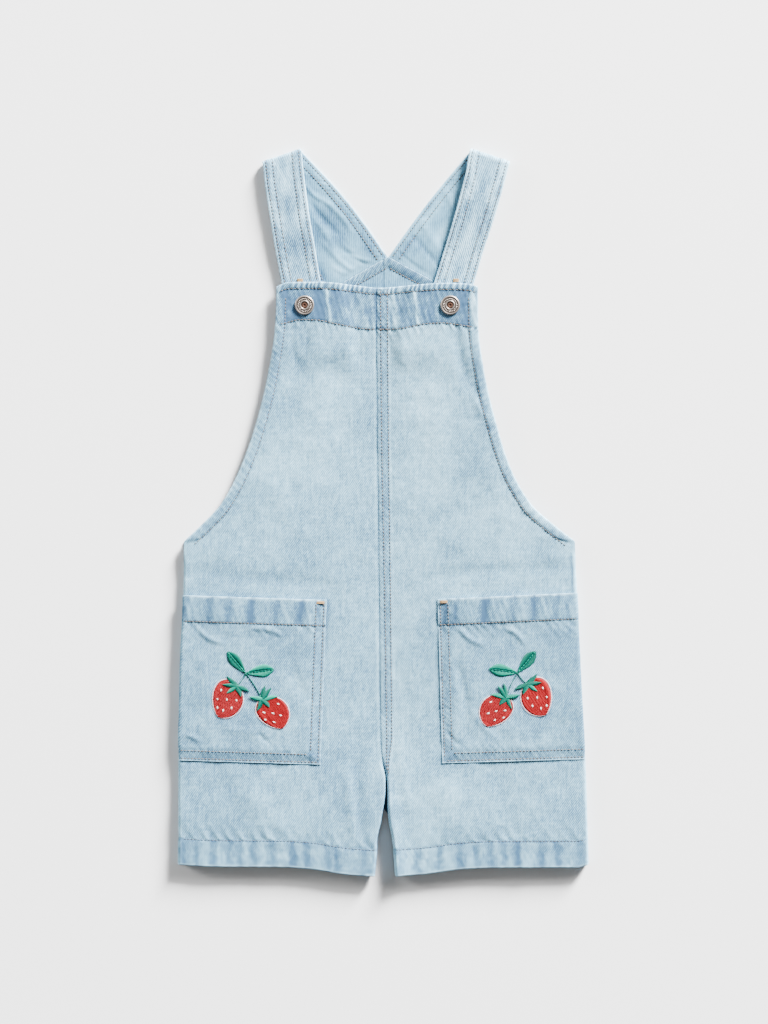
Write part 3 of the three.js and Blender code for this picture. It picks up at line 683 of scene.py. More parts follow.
# Washed indigo: a tone from -1 to 1 becomes a colour from blue through pale to white, worn along edges
def washGroup():
    group, given, result = groupOf(
        "washedIndigo",
        (
            ("Tone", "NodeSocketFloat"),
            ("Worn", "NodeSocketFloat"),
            ("Blue", "NodeSocketColor"),
            ("Pale", "NodeSocketColor"),
            ("White", "NodeSocketColor"),
        ),
        (("Colour", "NodeSocketColor"),),
    )
    negative = calculate(group, "MULTIPLY", given.outputs["Tone"], -1.0)
    low, high = (
        calculate(group, "MINIMUM", calculate(group, "MAXIMUM", tone, 0.0), 1.0)
        for tone in (negative, given.outputs["Tone"])
    )
    colour = mixColours(group, low, given.outputs["Pale"], given.outputs["Blue"])
    colour = mixColours(group, high, colour, given.outputs["White"])
    colour = mixColours(group, given.outputs["Worn"], colour, given.outputs["White"])
    group.links.new(colour, result.inputs["Colour"])
    return group


twill = twillGroup()
wash = washGroup()


def newMaterial(name):
    material = bpy.data.materials.new(name)
    material.use_nodes = True
    return material, material.node_tree, material.node_tree.nodes["Principled BSDF"]


# The value that a mesh carries at each point under this name
def attributeNode(tree, name):
    node = tree.nodes.new("ShaderNodeAttribute")
    node.attribute_name = name
    return node.outputs["Fac"]


# The place on an object in its own metres
def objectPlace(tree):
    return tree.nodes.new("ShaderNodeTexCoord").outputs["Object"]


def bump(tree, shader, height, strength, distance):
    node = tree.nodes.new("ShaderNodeBump")
    node.inputs["Strength"].default_value = strength
    node.inputs["Distance"].default_value = distance
    tree.links.new(height, node.inputs["Height"])
    tree.links.new(node.outputs[0], shader.inputs["Normal"])


# Washed denim: the piece's tone attribute, which holds its wash and some painted light and shade, and its
# worn attribute, with twill, yarns and mottling laid over them
def denimMaterial(name, blue, pale, white, pitch, slant, contrast, relief):
    material, tree, shader = newMaterial(name)
    uv = tree.nodes.new("ShaderNodeUVMap")
    uv.uv_map = "cloth"
    weave = tree.nodes.new("ShaderNodeGroup")
    weave.node_tree = twill
    weave.inputs["Pitch"].default_value = pitch
    weave.inputs["Slant"].default_value = slant
    tree.links.new(uv.outputs[0], weave.inputs["Vector"])
    tone, worn = attributeNode(tree, "tone"), attributeNode(tree, "worn")
    total = 0.0
    for output, share, middle in (
        ("Ridge", 2.4, 1.2),
        ("Yarn", 1.2, 0.72),
        ("Mottle", 2.0, 1.0),
        ("Streak", 1.2, 0.6),
    ):
        part = calculate(tree, "MULTIPLY_ADD", weave.outputs[output], share * contrast, -middle * contrast)
        total = calculate(tree, "ADD", part, total)
    blueness = calculate(tree, "MAXIMUM", calculate(tree, "MULTIPLY", tone, -0.8), 0.0)
    strength = calculate(tree, "ADD", calculate(tree, "MINIMUM", blueness, 0.8), 1.2)
    total = calculate(tree, "MULTIPLY_ADD", total, strength, tone)
    colour = tree.nodes.new("ShaderNodeGroup")
    colour.node_tree = wash
    tree.links.new(total, colour.inputs["Tone"])
    patchy = calculate(tree, "MULTIPLY_ADD", weave.outputs["Drift"], 1.9, -0.5)
    wear = calculate(tree, "MULTIPLY", worn, calculate(tree, "MAXIMUM", patchy, 0.1))
    tree.links.new(wear, colour.inputs["Worn"])
    for socket, value in (("Blue", blue), ("Pale", pale), ("White", white)):
        colour.inputs[socket].default_value = (*value, 1.0)
    tree.links.new(colour.outputs[0], shader.inputs["Base Color"])
    shader.inputs["Roughness"].default_value = 0.9
    shader.inputs["Specular IOR Level"].default_value = 0.18
    yarns = calculate(tree, "MULTIPLY_ADD", weave.outputs["Yarn"], 0.6, weave.outputs["Ridge"])
    bump(tree, shader, yarns, relief, 0.00022)
    return material


# Twisted thread: two close colours in fine slanted bands
def threadMaterial(name, colour, fleck, gloss):
    material, tree, shader = newMaterial(name)
    place = objectPlace(tree)
    wave = tree.nodes.new("ShaderNodeTexWave")
    wave.bands_direction = "DIAGONAL"
    wave.inputs["Scale"].default_value = 620.0
    tree.links.new(place, wave.inputs["Vector"])
    patches = calculate(tree, "MULTIPLY", noiseNode(tree, place, 420.0), 0.4)
    factor = calculate(tree, "MULTIPLY_ADD", wave.outputs["Fac"], 0.5, patches)
    tree.links.new(mixColours(tree, factor, colour, fleck), shader.inputs["Base Color"])
    shader.inputs["Roughness"].default_value = 0.6
    shader.inputs["Specular IOR Level"].default_value = gloss
    bump(tree, shader, wave.outputs["Fac"], 0.4, 0.0001)
    return material


denimKinds = {
    "denim": {
        "blue": (0.036, 0.09, 0.165),
        "pale": (0.15, 0.322, 0.426),
        "white": (0.43, 0.7, 0.86),
        "pitch": 0.00167,
        "slant": 0.72,
        "contrast": 0.44,
        "relief": 0.42,
    },
    "strapDenim": {
        "blue": (0.036, 0.09, 0.165),
        "pale": (0.135, 0.29, 0.4),
        "white": (0.43, 0.7, 0.86),
        "pitch": 0.0017,
        "slant": 0.6,
        "contrast": 0.5,
        "relief": 0.42,
    },
    "insideDenim": {
        "blue": (0.03, 0.085, 0.16),
        "pale": (0.136, 0.313, 0.432),
        "white": (0.31, 0.56, 0.73),
        "pitch": 0.0018,
        "slant": 0.02,
        "contrast": 0.2,
        "relief": 0.14,
    },
}
denim, strapDenim, insideDenim = (denimMaterial(name, **kind) for name, kind in denimKinds.items())
threadKinds = {
    "seam": {"colour": (0.065, 0.056, 0.051), "fleck": (0.15, 0.13, 0.117), "gloss": 0.2},
    # The hem thread is a darker copy of the seam thread: painted shade for the leg hems' row, which the key
    # lamp lights fully while the other rows lie in shaded grooves
    "hem": {"colour": (0.022, 0.019, 0.018), "fleck": (0.06, 0.052, 0.048), "gloss": 0.1},
    "tack": {"colour": (0.24, 0.13, 0.045), "fleck": (0.42, 0.27, 0.13), "gloss": 0.3},
    "red": {"colour": (0.15, 0.0025, 0.0035), "fleck": (0.29, 0.008, 0.012), "gloss": 0.1},
    "green": {"colour": (0.0, 0.05, 0.034), "fleck": (0.0, 0.125, 0.088), "gloss": 0.1},
    "leaf": {"colour": (0.0, 0.1, 0.066), "fleck": (0.002, 0.25, 0.175), "gloss": 0.1},
    "white": {"colour": (0.6, 0.46, 0.42), "fleck": (0.75, 0.64, 0.6), "gloss": 0.3},
    "halo": {"colour": (0.5, 0.31, 0.34), "fleck": (0.7, 0.52, 0.55), "gloss": 0.3},
}
threads = {name: threadMaterial(f"{name}Thread", **kind) for name, kind in threadKinds.items()}


# An object from arrays: points in millimetres, four-cornered faces, and values for each point
def meshObject(name, points, faces, materials, faceMaterials=None, uv=None, fields=None):
    mesh = bpy.data.meshes.new(name)
    mesh.vertices.add(len(points))
    mesh.vertices.foreach_set("co", (points * millimetre).astype(np.float32).ravel())
    mesh.loops.add(faces.size)
    mesh.loops.foreach_set("vertex_index", faces.astype(np.int32).ravel())
    mesh.polygons.add(len(faces))
    mesh.polygons.foreach_set("loop_start", np.arange(0, faces.size, faces.shape[1], dtype=np.int32))
    for material in materials:
        mesh.materials.append(material)
    if faceMaterials is not None:
        mesh.polygons.foreach_set("material_index", faceMaterials.astype(np.int32))
    mesh.polygons.foreach_set("use_smooth", np.ones(len(faces), bool))
    mesh.update(calc_edges=True)
    if uv is not None:
        layer = mesh.uv_layers.new(name="cloth")
        layer.data.foreach_set("uv", (uv[faces.ravel()] * millimetre).astype(np.float32).ravel())
    for field, values in (fields or {}).items():
        attribute = mesh.attributes.new(field, "FLOAT", "POINT")
        attribute.data.foreach_set("value", values.astype(np.float32).ravel())
    made = bpy.data.objects.new(name, mesh)
    bpy.context.scene.collection.objects.link(made)
    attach(made, "root")
    return made


# The four-cornered faces between neighbouring points of a grid
def gridFaces(rowCount, columnCount, start=0):
    at = start + np.arange(rowCount * columnCount).reshape(rowCount, columnCount)
    return np.stack([at[:-1, :-1], at[1:, :-1], at[1:, 1:], at[:-1, 1:]], -1).reshape(-1, 4)


# A closed thin shell from two grids of the same shape; facing is the way that the outer one looks. The
# first turned rows of the inner one are a hem, which shows the outer material
def shellObject(name, faceGrids, uv, tone, worn, material, facing, innerUv=None, turnedRows=0):
    outer, inner = faceGrids
    rowCount, columnCount = outer.shape[:2]
    size = rowCount * columnCount
    outerFaces = gridFaces(rowCount, columnCount)
    innerFaces = gridFaces(rowCount, columnCount, size)[:, ::-1]
    at = np.arange(size).reshape(rowCount, columnCount)
    rim = np.concatenate([at[0, :-1], at[:-1, -1], at[-1, :0:-1], at[:0:-1, 0]])
    following = np.roll(rim, -1)
    rimFaces = np.stack([rim, following, following + size, rim + size], -1)
    faces = np.concatenate([outerFaces, innerFaces, rimFaces])
    middle = outer[rowCount // 2, columnCount // 2]
    down = outer[rowCount // 2 + 1, columnCount // 2] - middle
    across = outer[rowCount // 2, columnCount // 2 + 1] - middle
    if np.dot(np.cross(down, across), facing) < 0:
        faces = faces[:, ::-1]
    points = np.concatenate([outer.reshape(-1, 3), inner.reshape(-1, 3)])
    innerKinds = np.ones((rowCount - 1, columnCount - 1))
    innerKinds[:turnedRows] = 0
    kinds = np.concatenate([np.zeros(len(outerFaces)), innerKinds.ravel(), np.zeros(len(rimFaces))])
    fields = {"tone": np.tile(tone.ravel(), 2), "worn": np.tile(worn.ravel(), 2)}
    innerUv = uv if innerUv is None else innerUv
    flat = np.concatenate([uv.reshape(-1, 2), innerUv.reshape(-1, 2)])
    return meshObject(name, points, faces, (material, insideDenim), kinds, flat, fields)


# Distances from an edge, close together on its roll and wider after it
def fineSteps(last):
    steps = np.array([0, 0.1, 0.25, 0.45, 0.7, 1.0, 1.5, 2.2, 3.0, 3.9, 4.8, 5.8, 6.8, 7.8, 8.8, 9.8])
    return steps[steps <= last]


# A row of x places for each row of a sheet: fine steps in from both edges and even ones between them
def sheetColumns(outer, inner, stretch, between):
    steps = fineSteps(9.8)
    direction = np.sign(inner - outer)[:, None]
    fromOuter = outer[:, None] + direction * steps * stretch[:, None]
    fromInner = (inner[:, None] - direction * steps)[:, ::-1]
    share = np.linspace(0, 1, between + 2)[1:-1]
    middle = mix(fromOuter[:, -1:], fromInner[:, :1], share)
    return np.concatenate([fromOuter, middle, fromInner], axis=1)


# A sheet's two faces: its points moved along its normal, which leans over at a fold; up is 1 or -1
def facesOf(x, y, z, lean, up, outerBy, innerBy):
    normal = np.stack([lean, 0 * lean, up * np.sqrt(1 - lean * lean)], -1)
    base = np.stack([x, y, z], -1)
    return base + normal * outerBy[..., None], base + normal * innerBy[..., None]


# One front panel: the outer grid follows the CAD's outline, its height the form and the fine form
def makeFront(side):
    top, bottom = 180.6, -282.0
    steps = fineSteps(4.8)
    upper = np.linspace(top - 5.4, top - 38, 54)
    middle = np.linspace(top - 39.4, bottom + 26.6, 254)
    lower = np.linspace(bottom + 25.6, bottom + 5.6, 32)
    nominal = np.concatenate([top - steps, upper, middle, lower, bottom + steps[::-1]])
    outer = frontOuter(side, nominal)
    slope = np.where(nominal > underarmY, (armhole[side](nominal + 2) - armhole[side](nominal - 2)) / 4, 0)
    lowered = nominal + hemShift(side, frontInner[side](nominal), outer[-1], nominal)
    inner = frontInner[side](lowered) - outwardX[side] * 0.13 * ramp(-212, -202, lowered)
    x = sheetColumns(outer, inner, np.hypot(1, slope), 92)
    y = nominal[:, None] + 0 * x
    y = y + (bibTop(x) - bibTop(outer[:1])) * ramp(90, 170, y) + hemShift(side, x, outer[-1:], y)
    z, lean = frontForm(side, x, y)
    height, tone, worn = frontFine(side, x, y)
    faces = facesOf(x, y, z, lean, 1, height, 0 * x - cloth["wall"])
    panel = shellObject(f"frontCloth_{side}", faces, np.stack([x, y], -1), tone, worn, denim, (0, 0, 1))
    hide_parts(f"front_{side}")


# A patch pocket: the front's plain form moved out, with its own fine form
def makePocket(side):
    shape = pockets[side]
    steps = fineSteps(9.8)
    height = pocketSizes["height"]
    down = [steps, np.linspace(11, 18, 6), np.linspace(18.7, 23, 8), np.linspace(24.2, height - 11, 78)]
    down = np.concatenate([*down, height - steps[::-1]]) / height
    outerY = mix(shape["outerTopY"], shape["outerBottomY"], down)
    innerY = mix(shape["innerTop"][1], shape["innerBottom"][1], down)
    innerX = mix(shape["innerTop"][0], shape["innerBottom"][0], down)
    edge = sideSeam[side](outerY)
    inward = -outwardX[side]
    starts = edge[:, None] + inward * np.array([0.8, 1.2, 1.8, 2.6, 3.6, 4.8, 6.2])
    ends = (innerX[:, None] - inward * steps)[:, ::-1]
    middle = mix(starts[:, -1:], ends[:, :1], np.linspace(0, 1, 74)[1:-1])
    x = np.concatenate([starts, middle, ends], axis=1)
    y = mix(outerY[:, None], innerY[:, None], (x - edge[:, None]) / (innerX - edge)[:, None])
    z, lean = frontForm(side, x, y)
    fine, tone, worn = pocketFine(side, x, y)
    fromInner, fromBottom = pocketPlace(side, x, y)[1:]
    sewn = ramp(9, 2, np.minimum(fromInner, fromBottom))
    gap = pocketSizes["gap"]
    faces = facesOf(x, y, z, lean, 1, gap + cloth["wall"] + fine, gap - 0.34 * sewn)
    piece = shellObject(f"pocketCloth_{side}", faces, np.stack([x, y], -1), tone, worn, denim, (0, 0, 1))
    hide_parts(f"pocket_{side}")


# The yoke's edge, which lies a little over the straps' sewn ends
def backTopEdge(side, x):
    return back["apex"][1] + back["overlap"] - back["slope"][side] * np.abs(x - back["apex"][0])


# The back's underside: flat, curling up at the folds, and how far it leans
def backForm(side, x, y):
    outer, inner = backOuter(side, y), backInner[side](y)
    sideTurn = ramp(-20, -48, y) * foldTurn(np.abs(outer - x))
    legTurn = ramp(-240, -262, y) * foldTurn(np.abs(x - inner))
    z = (cloth["seamZ"] - cloth["seamGap"] / 2) * (foldDrop(sideTurn) + foldDrop(legTurn))
    return z, outwardX[side] * (sideTurn - legTurn)


# The thickness of the back and the tones of its inner face, which shows above the bib and at the fork; at the
# fork the tone holds painted shade
def backInside(side, x, y):
    seed = 91 if side == "left" else 95
    fromTop = (backTopEdge(side, x) - y) * back["slopeCosine"]
    stitch = back["stitch"]
    band = ramp(stitch + 1, stitch - 0.4, fromTop)
    wave = ropes(x, fromTop, 4.6, 0.7, seed)
    sloped = band * ramp(stitch + 2, 2.5, fromTop)
    thickness = cloth["wall"] + 0.8 * sloped + 0.1 * wave * band
    thickness = thickness + 0.1 * rumple(x, y, 9, seed + 2) * ramp(150, 170, y)
    pressed, shade = stitchPress(fromTop - stitch, 0.7)
    fromSeam = np.abs(x - backInner[side](y))
    thickness = thickness + pressed - 0.2 * near(fromSeam, 0.7) * ramp(-236, -230, y) - edgeRoll(fromTop, 0.6)
    tone = -0.42 + band * (-0.3 + 0.6 * wave) + 0.25 * rumple(x, y, 9, seed + 4) + 0.6 * shade
    # Painted shade: along the inner edges below the fork and over the middle of the crotch the inner face is
    # much darker, as it lies in shade between the legs; the seam's own line is a little darker too
    tone = tone - 2.0 * near(np.abs(x - backInner[side](y)), 4) * ramp(-236, -244, y)
    tone = tone - 0.25 * near(fromSeam, 0.9) - 1.6 * ramp(-180, -196, y) * near(x - 2, 14)
    return thickness, tone


# One back panel: its underside rests flat on the table and its inner face shows above the bib
def makeBack(side):
    top, bottom = back["topRow"], -281.0
    steps = fineSteps(4.8)
    upper = np.linspace(top - 5.4, top - 40, 50)
    lower = np.linspace(top - 42, bottom + 6, 180)
    nominal = np.concatenate([top - steps, upper, lower, bottom + steps[::-1]])
    outer, inner = backOuter(side, nominal), backInner[side](nominal)
    inner = backInner[side](nominal + hemShift(side, inner, outer[-1], nominal))
    x = sheetColumns(outer, inner, np.ones(len(nominal)), 44)
    y = nominal[:, None] + 0 * x
    lift = (backTopEdge(side, x) - top) * ramp(70, 150, y)
    y = y + lift + hemShift(side, x, outer[-1:], y)
    z, lean = backForm(side, x, y)
    thickness, tone = backInside(side, x, y)
    thickness = thickness * ramp(-262, -252, y) + cloth["wall"] * (1 - ramp(-262, -252, y))
    seed = 97 if side == "left" else 99
    fromHem = y - hemEdge[side](x)
    press = 0.12 * (1 + rumple(x - 0.5 * y, y, 21, seed)) * ramp(0, 8, fromHem)
    fromSeamRow = np.abs(x - inner[:, None]) - back["seamRow"]
    press = press + 0.3 * near(fromHem - front["hemStitch"], 0.9) + 0.3 * near(fromSeamRow, 0.8)
    press = press * ramp(4, 9, np.abs(outer[:, None] - x))
    faces = facesOf(x, y, z, lean, -1, -press, -thickness)
    worn = 0.6 * near(fromHem - 0.4, 0.9) + 0.4 * near(backTopEdge(side, x) - y - 0.5, 0.9)
    bandRows = int(np.sum(top - nominal < back["stitch"] / back["slopeCosine"]))
    piece = shellObject(
        f"backCloth_{side}", faces, np.stack([x, y], -1), tone, worn, denim, (0, 0, -1), turnedRows=bandRows
    )
    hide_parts(f"back_{side}")


# The two edges of a strap's outer face from its hidden front end, over the shoulder, to the yoke
def strapEdges(side):
    shape = straps[side]
    sign = outwardX[side]
    inner = curveThrough(shape["front"], "y", "inner")
    outer = curveThrough(shape["front"], "y", "outer")
    foldInner, foldOuter = np.array(shape["foldInner"]), np.array(shape["foldOuter"])
    slant = foldInner[1] - foldOuter[1]
    line = (foldInner - foldOuter) / np.hypot(*(foldInner - foldOuter))
    beyond = np.array([sign * abs(line[1]), abs(line[0])])
    radius = shape["foldTop"] / 2

    y = np.linspace(142, 262, 88)
    z = mix(cloth["strapTop"], shape["foldTop"], ramp(184, 262, y))
    frontOuterEdge = np.stack([outer(y), y, z], -1)
    frontInnerEdge = np.stack([inner(y), y + slant * ramp(190, 275, y), z], -1)

    turn = np.linspace(0, np.pi, 25)
    reach = radius * (np.sin(turn) - 1)
    foldZ = radius * (1 + np.cos(turn))

    def foldEdge(corner):
        return np.stack([corner[0] + beyond[0] * reach, corner[1] + beyond[1] * reach, foldZ], -1)

    foldOuterEdge, foldInnerEdge = foldEdge(foldOuter), foldEdge(foldInner)
    upTo = np.linspace(0, 1, 16)[1:-1, None]
    joinOuter = mix(frontOuterEdge[-1], foldOuterEdge[0], upTo)
    joinInner = mix(frontInnerEdge[-1], foldInnerEdge[0], upTo)

    share = np.linspace(0, 1, 92)[1:, None]
    bow = shape["bow"] * np.sin(np.pi * share) * np.array([-sign, 1.0, 0.0])
    backOuterEdge = mix(foldOuterEdge[-1], np.array([*shape["sewnOuter"], 0.0]), share)
    backInnerEdge = mix(foldInnerEdge[-1], np.array([*shape["sewnInner"], 0.0]), share) + bow
    return (
        np.concatenate([frontOuterEdge, joinOuter, foldOuterEdge, backOuterEdge]),
        np.concatenate([frontInnerEdge, joinInner, foldInnerEdge, backInnerEdge]),
    )


strapSizes = {"wall": 2.0, "rows": (2.6, 8.0)}
strapFolds = {
    "left": rows(
        "x0 y0 x1 y1 half height bend",
        (-62, 262, -50, 250, 1.8, 1.0, 1), (-50, 252, -26, 226, 2.0, 1.3, -2),
        (-60, 250, -36, 222, 2.4, -0.9, 1), (-56, 236, -38, 208, 2.4, 0.8, -1),
        (-26, 206, -4, 200, 1.5, 1.2, 1), (-34, 211, -10, 197, 2.0, -1.0, 0),
        (-48, 216, -20, 191, 2.2, 0.9, 2), (-58, 204, -46, 184, 2.2, -0.8, 1),
        (-40, 196, -24, 188, 1.8, 0.6, 0),
    ),
    "right": rows(
        "x0 y0 x1 y1 half height bend",
        (14, 202, 36, 186, 1.5, 1.0, 1), (11, 209, 32, 192, 1.5, -0.8, 0),
        (30, 236, 50, 206, 3.6, 0.8, 2), (22, 222, 44, 196, 2.4, -0.8, -1),
        (48, 262, 60, 234, 2.6, 0.7, 0), (40, 200, 50, 186, 2.0, 0.8, 1),
    ),
}


# How far each point of a path is from its start, along it
def lengthsAlong(path):
    return np.concatenate([[0], np.cumsum(np.linalg.norm(np.diff(path, axis=0), axis=-1))])


# A strap's relief and tones: pressed stitch rows, small puckers between them, worn edges
def strapFine(side, along, fromEdge):
    seed = 111 if side == "left" else 131
    height = 0.14 * rumple(along, fromEdge, 14, seed)
    tone = (-0.26 if side == "left" else -0.1) + 0.6 * rumple(along / 2.2, fromEdge, 8, seed + 2)
    tone = tone + 0.25 * rumple(along, fromEdge, 26, seed + 3)
    firstRow, secondRow = strapSizes["rows"]
    for row in strapSizes["rows"]:
        height, tone = added((height, tone), stitchPress(fromEdge - row, 0.6))
    wave = ropes(along, fromEdge, 4.2, 0.8, seed + 4)
    between = ramp(firstRow - 0.5, firstRow + 0.5, fromEdge)
    between = between * ramp(secondRow + 0.5, secondRow - 0.5, fromEdge)
    height = height + (0.16 * roll(fromEdge - firstRow, 2.7) + 0.12 * wave) * between - edgeRoll(fromEdge)
    tone = tone + between * (-0.05 + 0.3 * wave) + 0.2 * near(fromEdge - 5.2, 1.2) + 0.4 * near(fromEdge, 1.6)
    ridge, shade = puckers(along, fromEdge - secondRow, 7, 4, 0.5, 0.16, seed + 6)
    return height + ridge, tone + shade, 0.9 * near(fromEdge - 0.4, 0.8)


# A strap's outer face, inner face and their normals as grids, with cloth places, tones and wear
def strapGrids(side):
    outerEdge, slotEdgeLightAndShade = strapEdges(side)
    steps = fineSteps(9.8) / 33.0
    across = np.concatenate([steps, np.linspace(steps[-1], 1 - steps[-1], 22)[1:-1], 1 - steps[::-1]])
    base = mix(outerEdge[:, None], slotEdgeLightAndShade[:, None], across[None, :, None])
    down = np.gradient(base, axis=0)
    over = np.gradient(base, axis=1)
    normal = np.cross(over, down) * -outwardX[side]
    normal = normal / np.linalg.norm(normal, axis=-1, keepdims=True)
    width = np.linalg.norm(slotEdgeLightAndShade - outerEdge, axis=-1)[:, None]
    fromEdge = np.minimum(across, 1 - across) * width
    middle = base[:, base.shape[1] // 2]
    along = lengthsAlong(middle)[:, None]
    x, y = base[..., 0], base[..., 1]
    height, tone, worn = strapFine(side, along + 0 * fromEdge, fromEdge)
    backRun = ramp(150, 158, along)
    sewn = ramp(along[-1] - 7, along[-1] - 2, along)
    folds = 0.5 * creases(strapFolds[side], x, y) * backRun * ramp(1, 6, fromEdge) * (1 - sewn)
    tone = mix(tone, 0.6 * tone + 0.4 * folds - 0.1, backRun)
    press = height * (1 - backRun) - backRun * (edgeRoll(fromEdge) + 0.05 + 0.5 * sewn)
    outerFace = base + normal * press[..., None]
    innerFace = base - normal * (strapSizes["wall"] + backRun * (folds + height) - 0.4 * sewn)[..., None]
    uv = np.stack([(across[None, :] - 0.5) * width, along + 0 * fromEdge], -1)
    return outerFace, innerFace, normal, uv, tone, worn


strapSurfaces = {side: strapGrids(side) for side in sides}


# One strap; its inner face shows the cloth's straight grain
def makeStrap(side):
    outerFace, innerFace, normal, uv, tone, worn = strapSurfaces[side]
    middle = normal[normal.shape[0] // 2, normal.shape[1] // 2]
    faces = (outerFace, innerFace)
    piece = shellObject(f"strapCloth_{side}", faces, uv, tone, worn, strapDenim, middle, innerFace[..., :2])
    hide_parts(f"strap_{side}")


# Sewing: every stitch is a short arched tube, and all of one thread are one mesh. Lift is a path's height
# over the cloth and sink is how far a stitch's ends lie below that path
stitchSizes = {"pitch": 2.75, "share": 0.8, "radius": 0.38, "arch": 0.12, "lift": 0.12, "sink": 0.24}
yokeRowEnds = {"left": -50.0, "right": 54.0}
upward = np.array([0.0, 0.0, 1.0])


# Closed tubes between pairs of points, each a row of rings round its own axis. The rings' centres rise
# along the normal by arch times a half sine wave, and the rings at both ends are smaller
def tubes(starts, ends, normals, radius, arch, ringCount=5):
    count, sideCount = len(starts), 6
    t = np.linspace(0, 1, ringCount)
    lift = np.sin(np.pi * t) * arch
    taper = np.where((t == 0) | (t == 1), 0.45, 1.0)
    centres = mix(starts[:, None], ends[:, None], t[None, :, None]) + normals[:, None] * lift[None, :, None]
    run = ends - starts
    run = run / np.maximum(np.linalg.norm(run, axis=-1, keepdims=True), 1e-6)
    sideways = np.cross(run, normals)
    sideways = sideways / np.maximum(np.linalg.norm(sideways, axis=-1, keepdims=True), 1e-6)
    above = np.cross(sideways, run)
    angle = np.linspace(0, 2 * np.pi, sideCount, endpoint=False)
    spread = sideways[:, None] * np.cos(angle)[None, :, None] + above[:, None] * np.sin(angle)[None, :, None]
    size = (radius * np.ones(count))[:, None, None, None] * taper[None, :, None, None]
    points = centres[:, :, None] + spread[:, None] * size
    ring = np.arange(ringCount - 1)[:, None] * sideCount
    corner = np.arange(sideCount)
    nextCorner = (corner + 1) % sideCount
    sidesOfTube = np.stack(
        [ring + corner, ring + nextCorner, ring + sideCount + nextCorner, ring + sideCount + corner], -1
    ).reshape(-1, 4)
    cap = np.array([(0, 3, 2, 1), (0, 5, 4, 3)])
    oneTube = np.concatenate([sidesOfTube, cap, cap[:, ::-1] + (ringCount - 1) * sideCount])
    offsets = np.arange(count)[:, None, None] * ringCount * sideCount
    faces = (oneTube[None] + offsets).reshape(-1, 4)[:, ::-1]
    return points.reshape(-1, 3), faces


# Several (points, faces) pairs as one
def joined(parts):
    points, faces, start = [], [], 0
    for somePoints, someFaces in parts:
        points.append(somePoints)
        faces.append(someFaces + start)
        start += len(somePoints)
    return np.concatenate(points), np.concatenate(faces)


# Stitches along a path: the path is measured, and a stitch starts at every pitch
def stitchesAlong(path, normals, arch=stitchSizes["arch"]):
    lengths = lengthsAlong(path)
    pitch, sink = stitchSizes["pitch"], stitchSizes["sink"]
    begins = np.arange(0.5, lengths[-1] - pitch, pitch)

    def at(values, distance):
        return np.stack([np.interp(distance, lengths, values[:, k]) for k in range(3)], -1)

    starts, ends = at(path, begins), at(path, begins + stitchSizes["share"] * pitch)
    up = at(normals, begins)
    return tubes(starts - up * sink, ends - up * sink, up, stitchSizes["radius"], arch)


# Stitches along a path on a level face, which looks up or down
def levelStitches(x, y, z, facing, arch):
    return stitchesAlong(np.stack([x, y, z + 0 * x], -1), 0 * x[:, None] + facing, arch)


# A path on a panel's outer face, with the normals of that face
def surfacePath(side, top, x, y):
    step = 0.4
    z = top(side, x, y)
    slopeX = (top(side, x + step, y) - top(side, x - step, y)) / (2 * step)
    slopeY = (top(side, x, y + step) - top(side, x, y - step)) / (2 * step)
    normal = np.stack([-slopeX, -slopeY, np.ones_like(z)], -1)
    normal = normal / np.linalg.norm(normal, axis=-1, keepdims=True)
    return np.stack([x, y, z], -1) + normal * stitchSizes["lift"], normal


# The paths of all rows of stitches on one front panel
def frontRowsOfStitches(side):
    sign = outwardX[side]
    inner = frontInner[side]
    arm = armhole[side]
    xs = np.linspace(inner(178.0) + sign * 0.8, arm(178.0) - sign * 1.6, 160)
    ys = np.linspace(172.0, -22.0, 320)
    slope = (arm(ys + 2) - arm(ys - 2)) / 4
    away = sign * front["armholeStitch"] / np.hypot(1, slope)
    paths = [(xs, bibTop(xs) - front["topStitch"]), (xs, bandStitch(xs)), (arm(ys) - away, ys + away * slope)]
    if side == "right":
        for row, lowest in (("first", -208.0), ("second", -210.0)):
            ys = np.linspace(180.0, lowest, 420)
            paths.append((inner(ys) + curveThrough(lapRows, "y", row)(ys), ys))
    return paths


# The path of a leg hem's row
def hemRowsOfStitches(side):
    sign = outwardX[side]
    begin, end = frontInner[side](-270.0), sideSeam[side](-262.0)
    xs = np.linspace(begin + sign * 1.5, end - sign * 1.5, 240)
    return [(xs, hemEdge[side](xs) + front["hemStitch"])]


# The paths of the pocket's hem row and of the double rows down its inner edge and along its bottom
def pocketRowsOfStitches(side):
    shape = pockets[side]
    (topX, topY), (bottomX, bottomY) = shape["innerTop"], shape["innerBottom"]
    sign = outwardX[side]
    paths = []
    share = np.linspace(0.015, 0.995, 160)
    xs = mix(sideSeam[side](-90.0), topX + 0.6 * sign, share)
    paths.append((xs, mix(shape["outerTopY"], topY, share) - pocketSizes["hem"]))
    for row in pocketSizes["rows"]:
        down = np.linspace(0.02, 1 - row / pocketSizes["height"], 160)
        paths.append((mix(topX, bottomX, down) + sign * row, mix(topY, bottomY, down)))
        across = np.linspace(0.012, 1, 160)
        xs = mix(sideSeam[side](-197.0), bottomX + sign * row, across)
        paths.append((xs, mix(shape["outerBottomY"], bottomY, across) + row))
    return paths


